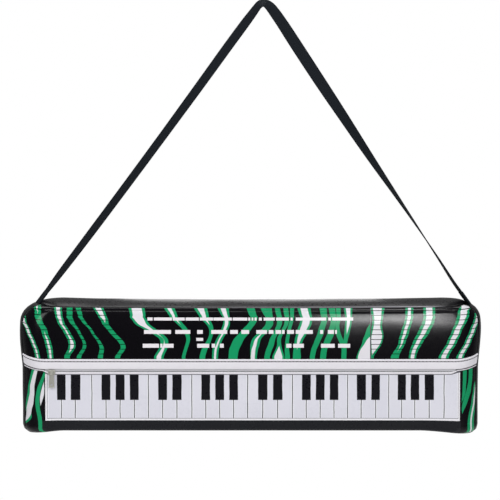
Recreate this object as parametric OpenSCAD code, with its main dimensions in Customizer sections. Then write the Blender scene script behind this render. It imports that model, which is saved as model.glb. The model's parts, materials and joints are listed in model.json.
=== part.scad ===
// Carry bag for a melodica: a padded imitation-leather bag that hangs by a webbing shoulder strap.
// Millimetres, +Z up. The origin is where the strap rests on whatever holds it up; the front faces -Y.

/* [Bag] */
// Length of the lower half, end seam to end seam
bag_len = 455; // [430:5:480]
// Height from the underside to the top seam
bag_h = 124; // [110:2:140]
// How far the bag's middle stands left of the hanging point
bag_shift = 13; // [0:1:20]
// Drop from the hanging point to the top seam
strap_drop = 300; // [300:1:300]
// Half depth of the bag at the top seam
top_half_depth = 28; // [26:1:30]
// How much further the front and back stand out at the height of the zip
belly = 7; // [4:1:8]
// How much further the ends stand out above the zip
end_belly = 2.5; // [0:0.5:3]
// Length of the rounded stretch at each end
end_round = 24; // [20:1:28]
// Where the end seams stand on the rounded ends, in degrees forward of the very end
seam_angle = 28; // [15:1:40]
// Radius of the top corner on the left
corner_left = 20; // [18:1:20]
// Radius of the top corner on the right
corner_right = 14; // [14:1:18]
// Radius of the bottom corners
corner_low = 6; // [5:1:10]

/* [Layers] */
// Thickness of the imitation leather
skin_t = 1.2; // [0.8:0.1:1.5]
// Thickness of the foam padding
foam_t = 2.8; // [2:0.2:3]
// Thickness of the lining cloth
lining_t = 0.6; // [0.4:0.1:0.8]
// Thickness of the stiffening boards in the top and in the base
board_t = 2; // [1:0.5:3]

/* [Zip] */
// Height of the zip above the underside
zip_h = 59.2; // [56:0.4:62]
// Half length of the stretch of the front that opens
mouth_half = 188; // [180:1:188]
// Height of the white band over the zip
band_h = 9.7; // [8:0.1:11]
// Thickness of the band
band_t = 1.2; // [0.8:0.1:1.4]
// Height of the white edging under the zip
edging_h = 2.2; // [1.6:0.1:2.6]
// Length of the slider along the zip
slider_len = 7.4; // [6:0.2:9]
// Length of the pull tab below its pivot
pull_len = 15; // [12:1:18]

/* [Strap] */
// Width of the webbing
web_w = 12; // [10:1:12]
// Thickness of the webbing
web_t = 1.2; // [1:0.1:1.4]

/* [Hidden] */
$fn = 48;

top_z = -strap_drop;
base_z = top_z - bag_h;
zip_z = base_z + zip_h;
gap = 0.1;         // between layers that are glued or sewn together
play = 0.4;        // between pieces that move past each other
base_tuck = 1.5;   // how much shallower the bag is at its base than at the zip
tape_t = 0.6;
tape_h = 10;
coil_t = 1.3;
coil_h = 1.6;
lip_z = 2.6;       // from the zip's middle up to the edge of the upper panel
edge_z = 1.5;      // from the zip's middle down to the edge of the lower panel

// Depths below the outer surface at which each layer begins and ends
foam_in = skin_t + gap;
lining_in = foam_in + foam_t + gap;
lining_back = lining_in + lining_t;
plate_in = lining_back + 0.3;
coil_in = foam_in + tape_t + gap;

// The rows of points up the upper and the lower half
roof_z = top_z - 5.2;
floor_z = base_z + 5;
upper_rows = [zip_z + lip_z, zip_z + 12, zip_z + 27, top_z - 22, top_z - 14, top_z - 8.5, roof_z,
    top_z - 2.5, top_z - 1, top_z];
lower_rows = [base_z + skin_t, base_z + 2.2, base_z + 3.5, floor_z, base_z + corner_low + 1,
    base_z + 20, base_z + 40, zip_z - edge_z];
// The rows that the pieces inside the pocket share
pocket_rows = [floor_z, base_z + corner_low + 1, base_z + 20, base_z + 40, zip_z, zip_z + 12,
    zip_z + 27, top_z - 22, top_z - 14, top_z - 8.5, roof_z];

// How far a rounded corner of radius r reaches past its centre, h below its top, at a layer's depth
function corner_reach(r, h, inset) = h >= r ? r - inset
    : h <= inset ? -inset
    : sqrt(pow(r - inset, 2) - pow(r - h, 2));
// Half the bag's length at height z, on the side -1 or 1
function half_len(z, side, inset) = let(
    r = z < zip_z ? corner_low : side < 0 ? corner_left : corner_right,
    h = z < zip_z ? z - base_z : top_z - z,
    swell = z < zip_z ? 0 : end_belly * sin(180 * (z - zip_z) / (top_z - zip_z))
) bag_len / 2 + swell - r + corner_reach(r, h, inset);
// Half the bag's depth at height z
function half_depth(z) = z < zip_z
    ? top_half_depth + belly - base_tuck * pow((zip_z - z) / (zip_z - base_z), 2)
    : top_half_depth + belly * cos(90 * (z - zip_z) / (top_z - zip_z));

// A station is [face, side, angle, x]: a point on a rounded end, or one at x on a flat face if side is 0.
// The angle is 0 at the very end of the bag and 90 where its flat face starts.
function round_at(z, side) = min(end_round, half_len(z, side, 0) - mouth_half - 1.5);
function round_xy(s, angle, z, inset) =
    let(a = round_at(z, s[1]), start = half_len(z, s[1], 0) - a)
        [s[1] * (start + (half_len(z, s[1], inset) - start) * cos(angle)),
            s[0] * (half_depth(z) - inset) * sin(angle)];
// Every layer bends at the same angles, a facet apart, so that no layer's flats cut another's corners
facet = 15;
function station_xy(s, z, inset) = s[1] == 0
    ? [s[3], s[0] * (half_depth(z) - inset)]
    : let(low = facet * floor(s[2] / facet), part = (s[2] - low) / facet)
        round_xy(s, low, z, inset) * (1 - part) + round_xy(s, low + facet, z, inset) * part;
function angles(from) = concat([from], [for (a = [-90 : facet : 90]) if (a > from) a]);
function reversed(list) = [for (i = [len(list) - 1 : -1 : 0]) list[i]];
function front_left(from = 0) = [for (a = angles(from)) [-1, -1, a, 0]];
function front_right(from = 0) = reversed([for (a = angles(from)) [-1, 1, a, 0]]);
function back_right(from = 0) = [for (a = angles(from)) [1, 1, a, 0]];
function back_left(from = 0) = reversed([for (a = angles(from)) [1, -1, a, 0]]);
function flat_front(x) = [[-1, 0, 90, x]];
mouth_stations = [[-1, 0, 90, play / 2 - mouth_half], [-1, 0, 90, 0], [-1, 0, 90, mouth_half - play / 2]];

// A curved wall: stations run anticlockwise seen from above, rows run upwards
module wall(stations, rows, outer, inner) {
    n = len(stations);
    m = len(rows);
    layer = function(inset) [for (z = rows, s = stations) concat(station_xy(s, z, inset), z)];
    function o(k, j) = k * n + j;
    function i(k, j) = m * n + k * n + j;
    quads = concat(
        [for (k = [0 : m - 2], j = [0 : n - 2]) [o(k, j), o(k + 1, j), o(k + 1, j + 1), o(k, j + 1)]],
        [for (k = [0 : m - 2], j = [0 : n - 2]) [i(k, j), i(k, j + 1), i(k + 1, j + 1), i(k + 1, j)]],
        [for (j = [0 : n - 2]) [o(0, j), o(0, j + 1), i(0, j + 1), i(0, j)]],
        [for (j = [0 : n - 2]) [o(m - 1, j + 1), o(m - 1, j), i(m - 1, j), i(m - 1, j + 1)]],
        [for (k = [0 : m - 2]) [o(k + 1, 0), o(k, 0), i(k, 0), i(k + 1, 0)]],
        [for (k = [0 : m - 2]) [o(k, n - 1), o(k + 1, n - 1), i(k + 1, n - 1), i(k, n - 1)]]);
    polyhedron(
        points = concat(layer(outer), layer(inner)),
        faces = [for (q = quads, t = [0, 1]) [q[0], q[t + 1], q[t + 2]]],
        convexity = 10);
}
// Everything on the bag is drawn about the bag's own middle
module on_bag() {
    translate([-bag_shift, 0, 0]) children();
}
// Both ends of a front layer, from the mouth back to the end seam
module front_ends(rows, outer, inner, from = 0) {
    wall(concat(front_left(from), flat_front(-mouth_half - play / 2)), rows, outer, inner);
    wall(concat(flat_front(mouth_half + play / 2), front_right(from)), rows, outer, inner);
}
module mouth(rows, outer, inner) {
    wall(mouth_stations, rows, outer, inner);
}
// A flat plate in the bag's plan at height z, with its own depth at the front
module plate(z, t, front, back) {
    outline = concat(
        [for (s = concat(front_left(), front_right())) station_xy(s, z, front)],
        [for (s = concat(back_right(5), back_left(5))) station_xy(s, z, back)]);
    translate([0, 0, z]) linear_extrude(t) polygon(outline);
}

// Strap: its route from the left tab, over the hanging point, to the right tab: [x, z, turn of the webbing]
strap_foot_z = top_z + skin_t + 7.2;
tab_left_x = -205 - bag_shift;
tab_right_x = 211 - bag_shift;
strap_route = [
    [tab_left_x, strap_foot_z, 16], [-205, -273.5, 20], [-178, -236.5, 25], [-140, -184, 30],
    [-100, -129, 36], [-60, -74, 41], [-34, -37.5, 44], [-18, -15, 45], [-11, -5.2, 45],
    [-7.3, -0.2, 44], [-5, 2, 42], [-2.6, 3.3, 40], [0, 3.7, 41], [2.6, 3.3, 44],
    [5, 2, 48], [7.4, -0.4, 54], [11, -6, 58], [18, -17, 62], [29, -34.4, 64],
    [53, -71.4, 60], [80, -112, 48], [107, -152.6, 33], [132, -190.2, 17], [157, -228, 2],
    [176, -258, -8], [189, -279.2, -14], [tab_right_x - 0.8, -288, -16], [tab_right_x, strap_foot_z, -12]
];
web_section = let(w = web_w / 2, t = web_t / 2, c = 0.35)
    [[-w, -t + c], [-w + c, -t], [w - c, -t], [w, -t + c], [w, t - c], [w - c, t], [-w + c, t], [-w, t - c]];
function unit(v) = v / norm(v);
function strap_ring(k) = let(
    last = len(strap_route) - 1,
    a = strap_route[max(k - 1, 0)],
    b = strap_route[min(k + 1, last)],
    along = k == 0 ? [0, 1] : k == last ? [0, -1] : unit([b[0] - a[0], b[1] - a[1]]),
    out = [-along[1], along[0]],
    turn = strap_route[k][2],
    wide = [out[0] * sin(turn), cos(turn), out[1] * sin(turn)],
    thick = [out[0] * cos(turn), -sin(turn), out[1] * cos(turn)]
) [for (p = web_section) [strap_route[k][0], 0, strap_route[k][1]] + wide * p[0] + thick * p[1]];

module strap() {
    n = len(web_section);
    m = len(strap_route);
    sides = [for (k = [0 : m - 2], j = [0 : n - 1]) let(i = (j + 1) % n)
        [k * n + j, (k + 1) * n + j, (k + 1) * n + i, k * n + i]];
    color([0.09, 0.1, 0.12]) polyhedron(
        points = [for (k = [0 : m - 1]) each strap_ring(k)],
        faces = concat(
            [for (q = sides, t = [0, 1]) [q[0], q[t + 1], q[t + 2]]],
            [[for (j = [0 : n - 1]) j]],
            [[for (j = [n - 1 : -1 : 0]) (m - 1) * n + j]]),
        convexity = 10);
}
// The webbing's sewn end: a stub above the top panel, and a tail that follows the corner inside
module strap_tab(x, side, r) {
    outer = r - skin_t - 0.7;
    inner = outer - web_t;
    centre = [side * (bag_len / 2 - r) - bag_shift, top_z - r];
    turns = [for (i = [0 : 8]) 90 - 6 * i];
    outline = concat(
        [[x - side * web_t / 2, strap_foot_z - 0.3], [x + side * web_t / 2, strap_foot_z - 0.3],
            [x + side * web_t / 2, centre[1] + outer]],
        [for (a = turns) centre + outer * [side * cos(a), sin(a)]],
        [for (a = reversed(turns)) centre + inner * [side * cos(a), sin(a)]],
        [[x - side * web_t / 2, centre[1] + inner]]);
    translate([0, web_w / 2, 0]) rotate([90, 0, 0]) linear_extrude(web_w) polygon(outline);
}
module strap_tab_left() {
    color([0.09, 0.1, 0.12]) strap_tab(tab_left_x, -1, corner_left);
}
module strap_tab_right() {
    color([0.09, 0.1, 0.12]) strap_tab(tab_right_x, 1, corner_right);
}

// The shell of the bag
module top_panel() {
    slot = [web_t + 0.6, web_w + 0.8, 3 * skin_t];
    color([0.12, 0.11, 0.13]) difference() {
        on_bag() plate(top_z, skin_t, 0, 0);
        for (x = [tab_left_x, tab_right_x])
            translate([x, 0, top_z + skin_t / 2]) cube(slot, center = true);
    }
}
module bottom_panel() {
    color([0.12, 0.11, 0.13]) on_bag() plate(base_z, skin_t, 0, 0);
}
module back_panel() {
    around = concat(back_right(-seam_angle), back_left(-seam_angle));
    color([0.1, 0.1, 0.11]) on_bag() wall(around, concat(lower_rows, upper_rows), 0, skin_t);
}
module upper_panel_ends() {
    color([0.1, 0.35, 0.25]) on_bag() front_ends(upper_rows, 0, skin_t, seam_angle + 0.5);
}
module lower_panel_ends() {
    color([0.1, 0.35, 0.25]) on_bag() front_ends(lower_rows, 0, skin_t, seam_angle + 0.5);
}
module board(z) {
    half = bag_len / 2 - 34;
    color([0.75, 0.74, 0.7]) on_bag() intersection() {
        plate(z, board_t, plate_in, plate_in);
        translate([-half, -60, z - 5]) cube([2 * half, 120, 20]);
    }
}
module top_board() {
    board(top_z - board_t - gap);
}
module base_board() {
    board(base_z + skin_t + gap);
}
module foam_back() {
    color([0.85, 0.83, 0.75]) on_bag()
        wall(concat(back_right(30), back_left(30)), pocket_rows, foam_in, foam_in + foam_t);
}
module lining_body() {
    stations = concat(flat_front(mouth_half + play / 2), front_right(), back_right(5), back_left(),
        front_left(5), flat_front(-mouth_half - play / 2));
    color([0.3, 0.31, 0.33]) on_bag() union() {
        wall(stations, pocket_rows, lining_in, lining_back);
        plate(floor_z, lining_t, plate_in, lining_in + 0.1);
        plate(roof_z - lining_t, lining_t, plate_in, lining_in + 0.1);
    }
}

// The zip's ends, which stay put when the mouth opens
band_rows = [zip_z + lip_z + 0.4, zip_z + lip_z + 0.4 + band_h];
edging_rows = [zip_z - edge_z - edging_h + 0.3, zip_z - edge_z + 0.3];
module band_ends() {
    color([0.92, 0.9, 0.93]) on_bag() front_ends(band_rows, -gap - band_t, -gap, seam_angle);
}
module edging_ends() {
    color([0.92, 0.9, 0.93]) on_bag() front_ends(edging_rows, -gap - 0.5, -gap, seam_angle);
}
module zip_ends() {
    rows = [zip_z - tape_h, zip_z - 0.5, zip_z + tape_h];
    color([0.8, 0.8, 0.82]) on_bag() front_ends(rows, foam_in, foam_in + tape_t, 60);
}

// The upper lip of the mouth
module front_panel_upper() {
    rows = [for (z = upper_rows) min(z, top_z - play)];
    color([0.1, 0.5, 0.33]) on_bag() mouth([for (k = [0 : len(rows) - 2]) rows[k]], 0, skin_t);
}
module foam_upper() {
    rows = [zip_z + tape_h + 0.3, zip_z + 27, top_z - 22, top_z - 8, top_z - 2];
    color([0.85, 0.83, 0.75]) on_bag() mouth(rows, foam_in, foam_in + foam_t);
}
module lining_upper() {
    rows = [zip_z + 3.5, zip_z + 27, top_z - 22, top_z - 8, top_z - 2];
    color([0.3, 0.31, 0.33]) on_bag() mouth(rows, lining_in, lining_back);
}
module zip_band() {
    color([0.92, 0.9, 0.93]) on_bag() mouth(band_rows, -gap - band_t, -gap);
}
module zip_tape_upper() {
    color([0.8, 0.8, 0.82]) on_bag() mouth([zip_z + play / 2, zip_z + tape_h], foam_in, foam_in + tape_t);
}
module zip_coil_upper() {
    rows = [zip_z + 0.3, zip_z + 0.3 + coil_h];
    color([0.7, 0.7, 0.72]) on_bag() mouth(rows, coil_in, coil_in + coil_t);
}

// The lower lip of the mouth
module front_panel_lower() {
    rows = [for (k = [1 : len(lower_rows) - 1]) lower_rows[k]];
    color([0.85, 0.85, 0.9]) on_bag() mouth(concat([base_z + skin_t + play], rows), 0, skin_t);
}
module foam_lower() {
    rows = [base_z + 3, base_z + 20, base_z + 40, zip_z - tape_h - 0.3];
    color([0.85, 0.83, 0.75]) on_bag() mouth(rows, foam_in, foam_in + foam_t);
}
module lining_lower() {
    rows = [base_z + 3, base_z + 20, base_z + 40, zip_z - 3.5];
    color([0.3, 0.31, 0.33]) on_bag() mouth(rows, lining_in, lining_back);
}
module zip_edging() {
    color([0.92, 0.9, 0.93]) on_bag() mouth(edging_rows, -gap - 0.5, -gap);
}
module zip_tape_lower() {
    color([0.8, 0.8, 0.82]) on_bag() mouth([zip_z - tape_h, zip_z - play / 2], foam_in, foam_in + tape_t);
}
module zip_coil_lower() {
    rows = [zip_z - 0.3 - coil_h, zip_z - 0.3];
    color([0.7, 0.7, 0.72]) on_bag() mouth(rows, coil_in, coil_in + coil_t);
}

// The slider, parked at the left end of the zip, and its pull tab
slider_x = -199.3 - bag_shift;
face_y = -top_half_depth - belly;
plate_y = face_y - 0.9;
plate_t = 1.2;
pivot_z = zip_z - 0.6;
pin_r = 1;
pull_t = 1;
pull_gap = 0.4;
pull_y = plate_y - plate_t - pull_gap;
module slider_body() {
    up = lip_z - 0.2;
    down = 3.1;
    seat_z = [zip_z - edge_z + 0.6, zip_z + lip_z - 0.4];
    color([0.66, 0.66, 0.62]) {
        translate([slider_x - slider_len / 2, plate_y - plate_t, zip_z - down])
            cube([slider_len, plate_t, up + down]);
        translate([slider_x - slider_len / 2 + 0.7, plate_y - 0.01, seat_z[0]])
            cube([slider_len - 1.4, face_y + foam_in - 0.2 - plate_y, seat_z[1] - seat_z[0]]);
        translate([slider_x, plate_y - plate_t + 0.01, pivot_z]) rotate([90, 0, 0])
            cylinder(r = pin_r, h = pull_t + 2 * pull_gap);
        translate([slider_x, pull_y - pull_t - pull_gap + 0.01, pivot_z]) rotate([90, 0, 0])
            cylinder(r = pin_r + 0.8, h = 0.7);
    }
}
module pull_tab() {
    half_w = 2.9;
    color([0.68, 0.68, 0.63]) translate([slider_x, pull_y, pivot_z]) rotate([90, 0, 0]) difference() {
        union() {
            cylinder(r = half_w, h = pull_t);
            translate([-half_w, -pull_len + 1.4, 0]) cube([2 * half_w, pull_len - 1.4, pull_t]);
            translate([-half_w + 1.4, -pull_len, 0]) cube([2 * half_w - 2.8, pull_len, pull_t]);
            for (x = [-1, 1])
                translate([x * (half_w - 1.4), -pull_len + 1.4, 0]) cylinder(r = 1.4, h = pull_t);
        }
        translate([0, 0, -1]) cylinder(r = pin_r + 0.3, h = pull_t + 2);
        translate([0, -pull_len + 3, -1]) cylinder(r = 0.9, h = pull_t + 2);
    }
}

strap();
strap_tab_left();
strap_tab_right();
top_panel();
bottom_panel();
back_panel();
upper_panel_ends();
lower_panel_ends();
top_board();
base_board();
foam_back();
lining_body();
band_ends();
edging_ends();
zip_ends();
front_panel_upper();
foam_upper();
lining_upper();
zip_band();
zip_tape_upper();
zip_coil_upper();
front_panel_lower();
foam_lower();
lining_lower();
zip_edging();
zip_tape_lower();
zip_coil_lower();
slider_body();
pull_tab();
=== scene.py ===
# %% [markdown]
# # A carry bag for a melodica
#
# The real thing is a long, flat, padded bag of imitation leather. Its front carries a print of
# wavy stripes above the zip and of a keyboard below it, a white band covers the zip, and a
# webbing strap holds it up by the two ends of its top panel.
#
# The design was packed first, as hard solids on six moving bodies. This lesson loads that frame
# and dresses it: each visible piece is cut flat, laid over the bag's form, given its thickness,
# and told which body it moves with. All lengths are in metres, so small sizes are written in
# millimetres times MM.

# %% Load the frame and measure it
import json
import math

import bpy
from mathutils import Vector, noise
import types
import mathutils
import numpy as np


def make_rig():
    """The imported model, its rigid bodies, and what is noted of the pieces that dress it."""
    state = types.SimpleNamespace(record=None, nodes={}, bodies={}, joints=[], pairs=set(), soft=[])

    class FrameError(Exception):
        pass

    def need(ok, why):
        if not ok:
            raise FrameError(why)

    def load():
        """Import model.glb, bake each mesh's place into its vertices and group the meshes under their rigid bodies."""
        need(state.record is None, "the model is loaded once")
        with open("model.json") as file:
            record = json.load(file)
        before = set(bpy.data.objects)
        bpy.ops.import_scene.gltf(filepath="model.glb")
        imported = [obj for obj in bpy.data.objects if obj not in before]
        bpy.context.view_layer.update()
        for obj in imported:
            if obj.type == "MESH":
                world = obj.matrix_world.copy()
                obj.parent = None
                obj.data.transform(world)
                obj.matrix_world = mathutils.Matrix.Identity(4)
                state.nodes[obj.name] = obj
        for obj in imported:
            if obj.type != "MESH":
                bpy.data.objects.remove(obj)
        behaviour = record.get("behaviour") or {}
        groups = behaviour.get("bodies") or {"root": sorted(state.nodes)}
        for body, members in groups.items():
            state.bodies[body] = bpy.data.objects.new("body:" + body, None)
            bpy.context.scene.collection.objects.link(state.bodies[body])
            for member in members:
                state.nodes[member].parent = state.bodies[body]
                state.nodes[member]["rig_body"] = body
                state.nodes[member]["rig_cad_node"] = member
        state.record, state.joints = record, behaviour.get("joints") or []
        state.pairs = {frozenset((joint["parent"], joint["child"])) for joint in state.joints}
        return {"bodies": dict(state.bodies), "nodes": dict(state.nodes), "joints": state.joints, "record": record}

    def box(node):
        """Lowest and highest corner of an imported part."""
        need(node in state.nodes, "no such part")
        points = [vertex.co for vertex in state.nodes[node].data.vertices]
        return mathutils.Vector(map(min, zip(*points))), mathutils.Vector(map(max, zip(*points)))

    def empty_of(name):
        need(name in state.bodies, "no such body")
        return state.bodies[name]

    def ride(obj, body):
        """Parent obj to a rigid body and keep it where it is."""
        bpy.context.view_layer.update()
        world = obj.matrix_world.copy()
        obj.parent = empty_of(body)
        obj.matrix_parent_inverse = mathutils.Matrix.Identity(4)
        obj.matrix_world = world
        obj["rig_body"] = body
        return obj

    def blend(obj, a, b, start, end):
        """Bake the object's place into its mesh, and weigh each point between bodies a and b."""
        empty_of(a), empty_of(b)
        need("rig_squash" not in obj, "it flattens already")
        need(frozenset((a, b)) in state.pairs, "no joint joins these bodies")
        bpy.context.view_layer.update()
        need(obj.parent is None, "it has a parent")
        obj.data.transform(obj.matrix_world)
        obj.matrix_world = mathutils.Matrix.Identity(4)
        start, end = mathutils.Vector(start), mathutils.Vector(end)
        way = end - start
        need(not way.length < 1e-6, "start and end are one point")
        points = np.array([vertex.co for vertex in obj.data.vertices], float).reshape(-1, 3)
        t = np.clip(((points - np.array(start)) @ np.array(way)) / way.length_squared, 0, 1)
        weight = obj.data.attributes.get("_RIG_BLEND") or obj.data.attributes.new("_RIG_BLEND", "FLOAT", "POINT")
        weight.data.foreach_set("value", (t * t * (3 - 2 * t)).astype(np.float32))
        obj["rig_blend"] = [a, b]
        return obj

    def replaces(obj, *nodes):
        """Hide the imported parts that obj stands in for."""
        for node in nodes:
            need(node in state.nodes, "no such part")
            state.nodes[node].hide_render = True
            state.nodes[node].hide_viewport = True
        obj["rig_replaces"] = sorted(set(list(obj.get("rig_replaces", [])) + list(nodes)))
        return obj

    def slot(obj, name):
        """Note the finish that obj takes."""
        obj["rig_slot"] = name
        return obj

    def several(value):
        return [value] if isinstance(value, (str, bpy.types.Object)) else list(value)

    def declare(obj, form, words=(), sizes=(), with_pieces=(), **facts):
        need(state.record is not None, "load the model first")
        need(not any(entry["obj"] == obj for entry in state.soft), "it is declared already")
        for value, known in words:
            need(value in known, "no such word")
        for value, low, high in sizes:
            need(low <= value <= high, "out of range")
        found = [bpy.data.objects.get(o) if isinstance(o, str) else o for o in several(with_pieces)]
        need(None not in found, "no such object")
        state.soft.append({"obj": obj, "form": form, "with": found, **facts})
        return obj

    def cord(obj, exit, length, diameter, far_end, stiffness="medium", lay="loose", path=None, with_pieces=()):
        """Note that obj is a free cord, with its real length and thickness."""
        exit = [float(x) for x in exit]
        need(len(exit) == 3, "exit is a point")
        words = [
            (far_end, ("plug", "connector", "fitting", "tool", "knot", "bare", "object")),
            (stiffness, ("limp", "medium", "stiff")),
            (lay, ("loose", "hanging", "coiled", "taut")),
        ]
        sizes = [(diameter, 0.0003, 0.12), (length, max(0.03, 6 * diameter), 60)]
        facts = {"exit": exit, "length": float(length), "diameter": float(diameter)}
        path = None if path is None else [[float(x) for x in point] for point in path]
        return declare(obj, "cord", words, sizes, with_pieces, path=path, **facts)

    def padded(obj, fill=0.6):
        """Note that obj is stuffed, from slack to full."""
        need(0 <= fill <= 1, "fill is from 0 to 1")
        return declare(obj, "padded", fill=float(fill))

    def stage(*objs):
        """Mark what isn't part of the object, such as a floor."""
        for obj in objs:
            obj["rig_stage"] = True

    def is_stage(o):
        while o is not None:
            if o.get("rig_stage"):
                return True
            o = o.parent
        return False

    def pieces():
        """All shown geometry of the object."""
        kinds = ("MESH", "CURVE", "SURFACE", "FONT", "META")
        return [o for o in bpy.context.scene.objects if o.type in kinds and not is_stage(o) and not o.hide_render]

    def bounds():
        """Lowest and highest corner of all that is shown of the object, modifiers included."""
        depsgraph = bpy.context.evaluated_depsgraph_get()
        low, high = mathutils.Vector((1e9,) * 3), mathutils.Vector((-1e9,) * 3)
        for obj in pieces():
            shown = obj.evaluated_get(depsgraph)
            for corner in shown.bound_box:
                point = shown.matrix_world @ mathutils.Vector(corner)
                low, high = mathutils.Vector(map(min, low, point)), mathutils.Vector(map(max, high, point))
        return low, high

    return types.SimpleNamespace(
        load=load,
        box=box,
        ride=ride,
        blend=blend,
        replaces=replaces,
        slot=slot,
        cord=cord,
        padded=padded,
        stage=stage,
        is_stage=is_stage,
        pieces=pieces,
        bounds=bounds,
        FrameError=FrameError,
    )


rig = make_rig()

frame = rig.load()
cad_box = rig.bounds()
MM = 0.001

back_low, back_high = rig.box("back_panel")
MIDDLE_X = (back_low.x + back_high.x) / 2
TOP_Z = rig.box("top_panel")[0].z
BASE_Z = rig.box("bottom_panel")[0].z
COIL_GAP = 0.3 * MM          # from the zip's middle to its upper coil
ZIP_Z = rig.box("zip_coil_upper")[0].z - COIL_GAP
FACE_Y = -back_high.y
END_BELLY = 2.5 * MM         # the hard frame's own swelling at each end
PROUD = 2.2 * MM             # the soft ends stand this much prouder than the hard frame
HALF_LEN = (back_high.x - back_low.x) / 2 - END_BELLY + PROUD
MOUTH_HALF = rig.box("front_panel_upper")[1].x - MIDDLE_X
print("bag", round(2 * HALF_LEN, 4), "long,", round(TOP_Z - BASE_Z, 4), "high, middle at", round(MIDDLE_X, 4))

# %% [markdown]
# ## The camera
#
# A small object looks true to shape through a long lens from far away. The lens stands six
# metres off and a little above the bag, and half a metre of the scene fills the picture's width.

# %% Camera
VIEW_WIDTH = 0.5             # metres of the scene across the picture
DISTANCE = 6.0
SENSOR = 36                  # millimetres
ELEVATION = math.radians(9)
AIM = Vector((MIDDLE_X - 0.3 * MM, FACE_Y, -0.241))


def pick(*pieces):
    """Selects these pieces alone, the first as the active one; without pieces it only deselects."""
    bpy.ops.object.select_all(action="DESELECT")
    for piece in pieces:
        piece.select_set(True)
        bpy.context.view_layer.objects.active = pieces[0]


def named(name):
    """Names the object that an add operator has just made."""
    made = bpy.context.object
    made.name = made.data.name = name
    return made


def make_camera():
    """Places the camera in front of the bag, looking slightly down on it."""
    away = Vector((0, -math.cos(ELEVATION), math.sin(ELEVATION)))
    pick()
    bpy.ops.object.camera_add(location=AIM + away * DISTANCE, rotation=(math.pi / 2 - ELEVATION, 0, 0))
    camera = named("camera")
    camera.data.sensor_width = SENSOR
    camera.data.lens = SENSOR * DISTANCE / VIEW_WIDTH
    camera.data.clip_end = 50
    bpy.context.scene.camera = camera


make_camera()
print("camera lens", round(bpy.context.scene.camera.data.lens), "mm")

# %% [markdown]
# ## Materials as sums
#
# Blender's materials are graphs of small nodes. Wiring them one by one hides the idea, so one
# class wraps a socket: sums on it add Math nodes, and its method node() adds any other kind.

# %% A wire of a material
class Wire:
    """A socket on its way through a material; arithmetic on it adds Math nodes."""

    def __init__(self, tree, socket=None):
        self.tree, self.socket = tree, socket

    def node(self, kind, settings=None, inputs=None, output=0):
        """Adds any node: settings first (stops fills a ramp), then the values or links of its sockets."""
        made = self.tree.nodes.new("ShaderNode" + kind)
        for name, value in (settings or {}).items():
            if name == "stops":
                fill_ramp(made.color_ramp, value)
            elif name == "blend_by":
                made.color_ramp.interpolation = value
            else:
                setattr(made, name, value)
        for name, value in (inputs or {}).items():
            if isinstance(value, Wire):
                self.tree.links.new(value.socket, made.inputs[name])
            else:
                made.inputs[name].default_value = value
        return Wire(self.tree, made.outputs[output])

    def math(self, operation, other=None, clamp=False, swap=False):
        pair = [self] if other is None else [other, self] if swap else [self, other]
        return self.node("Math", {"operation": operation, "use_clamp": clamp}, dict(enumerate(pair)))

    def __add__(self, other): return self.math("ADD", other)
    def __radd__(self, other): return self.math("ADD", other)
    def __sub__(self, other): return self.math("SUBTRACT", other)
    def __rsub__(self, other): return self.math("SUBTRACT", other, swap=True)
    def __mul__(self, other): return self.math("MULTIPLY", other)
    def __rmul__(self, other): return self.math("MULTIPLY", other)
    def __truediv__(self, other): return self.math("DIVIDE", other)
    def __abs__(self): return self.math("ABSOLUTE")
    def __or__(self, other): return self.math("MAXIMUM", other)
    def __and__(self, other): return self.math("MINIMUM", other)
    def __gt__(self, other): return self.math("GREATER_THAN", other)
    def __lt__(self, other): return self.math("LESS_THAN", other)

    def clamp(self):
        return self.math("ADD", 0.0, clamp=True)

    def mix(self, colour, other):
        """self as the factor between two colours."""
        return self.node("Mix", {"data_type": "RGBA"}, {0: self, 6: colour, 7: other}, output=2)

    def xyz(self):
        made = self.node("SeparateXYZ", None, {0: self})
        return [Wire(self.tree, socket) for socket in made.socket.node.outputs]


def fill_ramp(ramp, stops):
    """Gives a ramp these (position, colour) stops."""
    while len(ramp.elements) < len(stops):
        ramp.elements.new(1.0)
    for element, (position, colour) in zip(ramp.elements, stops):
        element.position = position
        element.color = (*colour, 1.0)


def tint(red, green, blue):
    """A colour in the units of a colour chart, 0 to 255, as the light values a shader takes."""
    def light(c):
        c = c / 255
        return c / 12.92 if c < 0.04045 else ((c + 0.055) / 1.055) ** 2.4
    return (light(red), light(green), light(blue), 1.0)


def finish(name, build, **constants):
    """A material: build(wire) returns the varying sockets by name, constants are set on the shader."""
    material = bpy.data.materials.new(name)
    material.use_nodes = True
    tree = material.node_tree
    shader = tree.nodes["Principled BSDF"]
    for socket, value in constants.items():
        shader.inputs[socket.replace("_", " ")].default_value = value
    for socket, wire in build(Wire(tree)).items():
        tree.links.new(wire.socket, shader.inputs[socket])
    return material


print("wires ready")

# %% [markdown]
# ## Grain, weave and metal
#
# Imitation leather has a pebbled grain about a millimetre across, which shows only as a slight
# breaking-up of its shine. It could be sculpted, but at this size a bump from two noises does it,
# and the same noise lets the roughness vary so the shine is never even.

# %% Leather
GRAIN_PER_M, FOLDS_PER_M, DENTS_PER_M = 1100, 260.0, 28.0
BAND_LOW = ZIP_Z + 2.6 * MM
GROOVE_Z = BAND_LOW + 7.9 * MM           # the sewn groove of the white band
# half the width of the painted shade along the sewn groove
GROOVE_SHADE_HALF = 0.45 * MM
EDGE_HIGHLIGHT_AT, EDGE_HIGHLIGHT_HALF = -0.955, 0.03    # across the top panel, whose front edge is at -1: where the painted highlight runs, and its half width
EDGE_HIGHLIGHT_REACH = 0.18                      # metres from the middle, where the painted highlight fades out


def flat_place(wire):
    """Where a spot lies on its piece when that is flat: along, up, and a third that stays 0."""
    return wire.node("UVMap", {"uv_map": "pattern"}).xyz()


def mottle(wire, scale, detail=2.0):
    """Soft unevenness on the object's own coordinates, finer with a larger scale."""
    place = wire.node("TexCoord", output=3)
    return wire.node("TexNoise", None, {"Vector": place, "Scale": scale, "Detail": detail})


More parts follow.
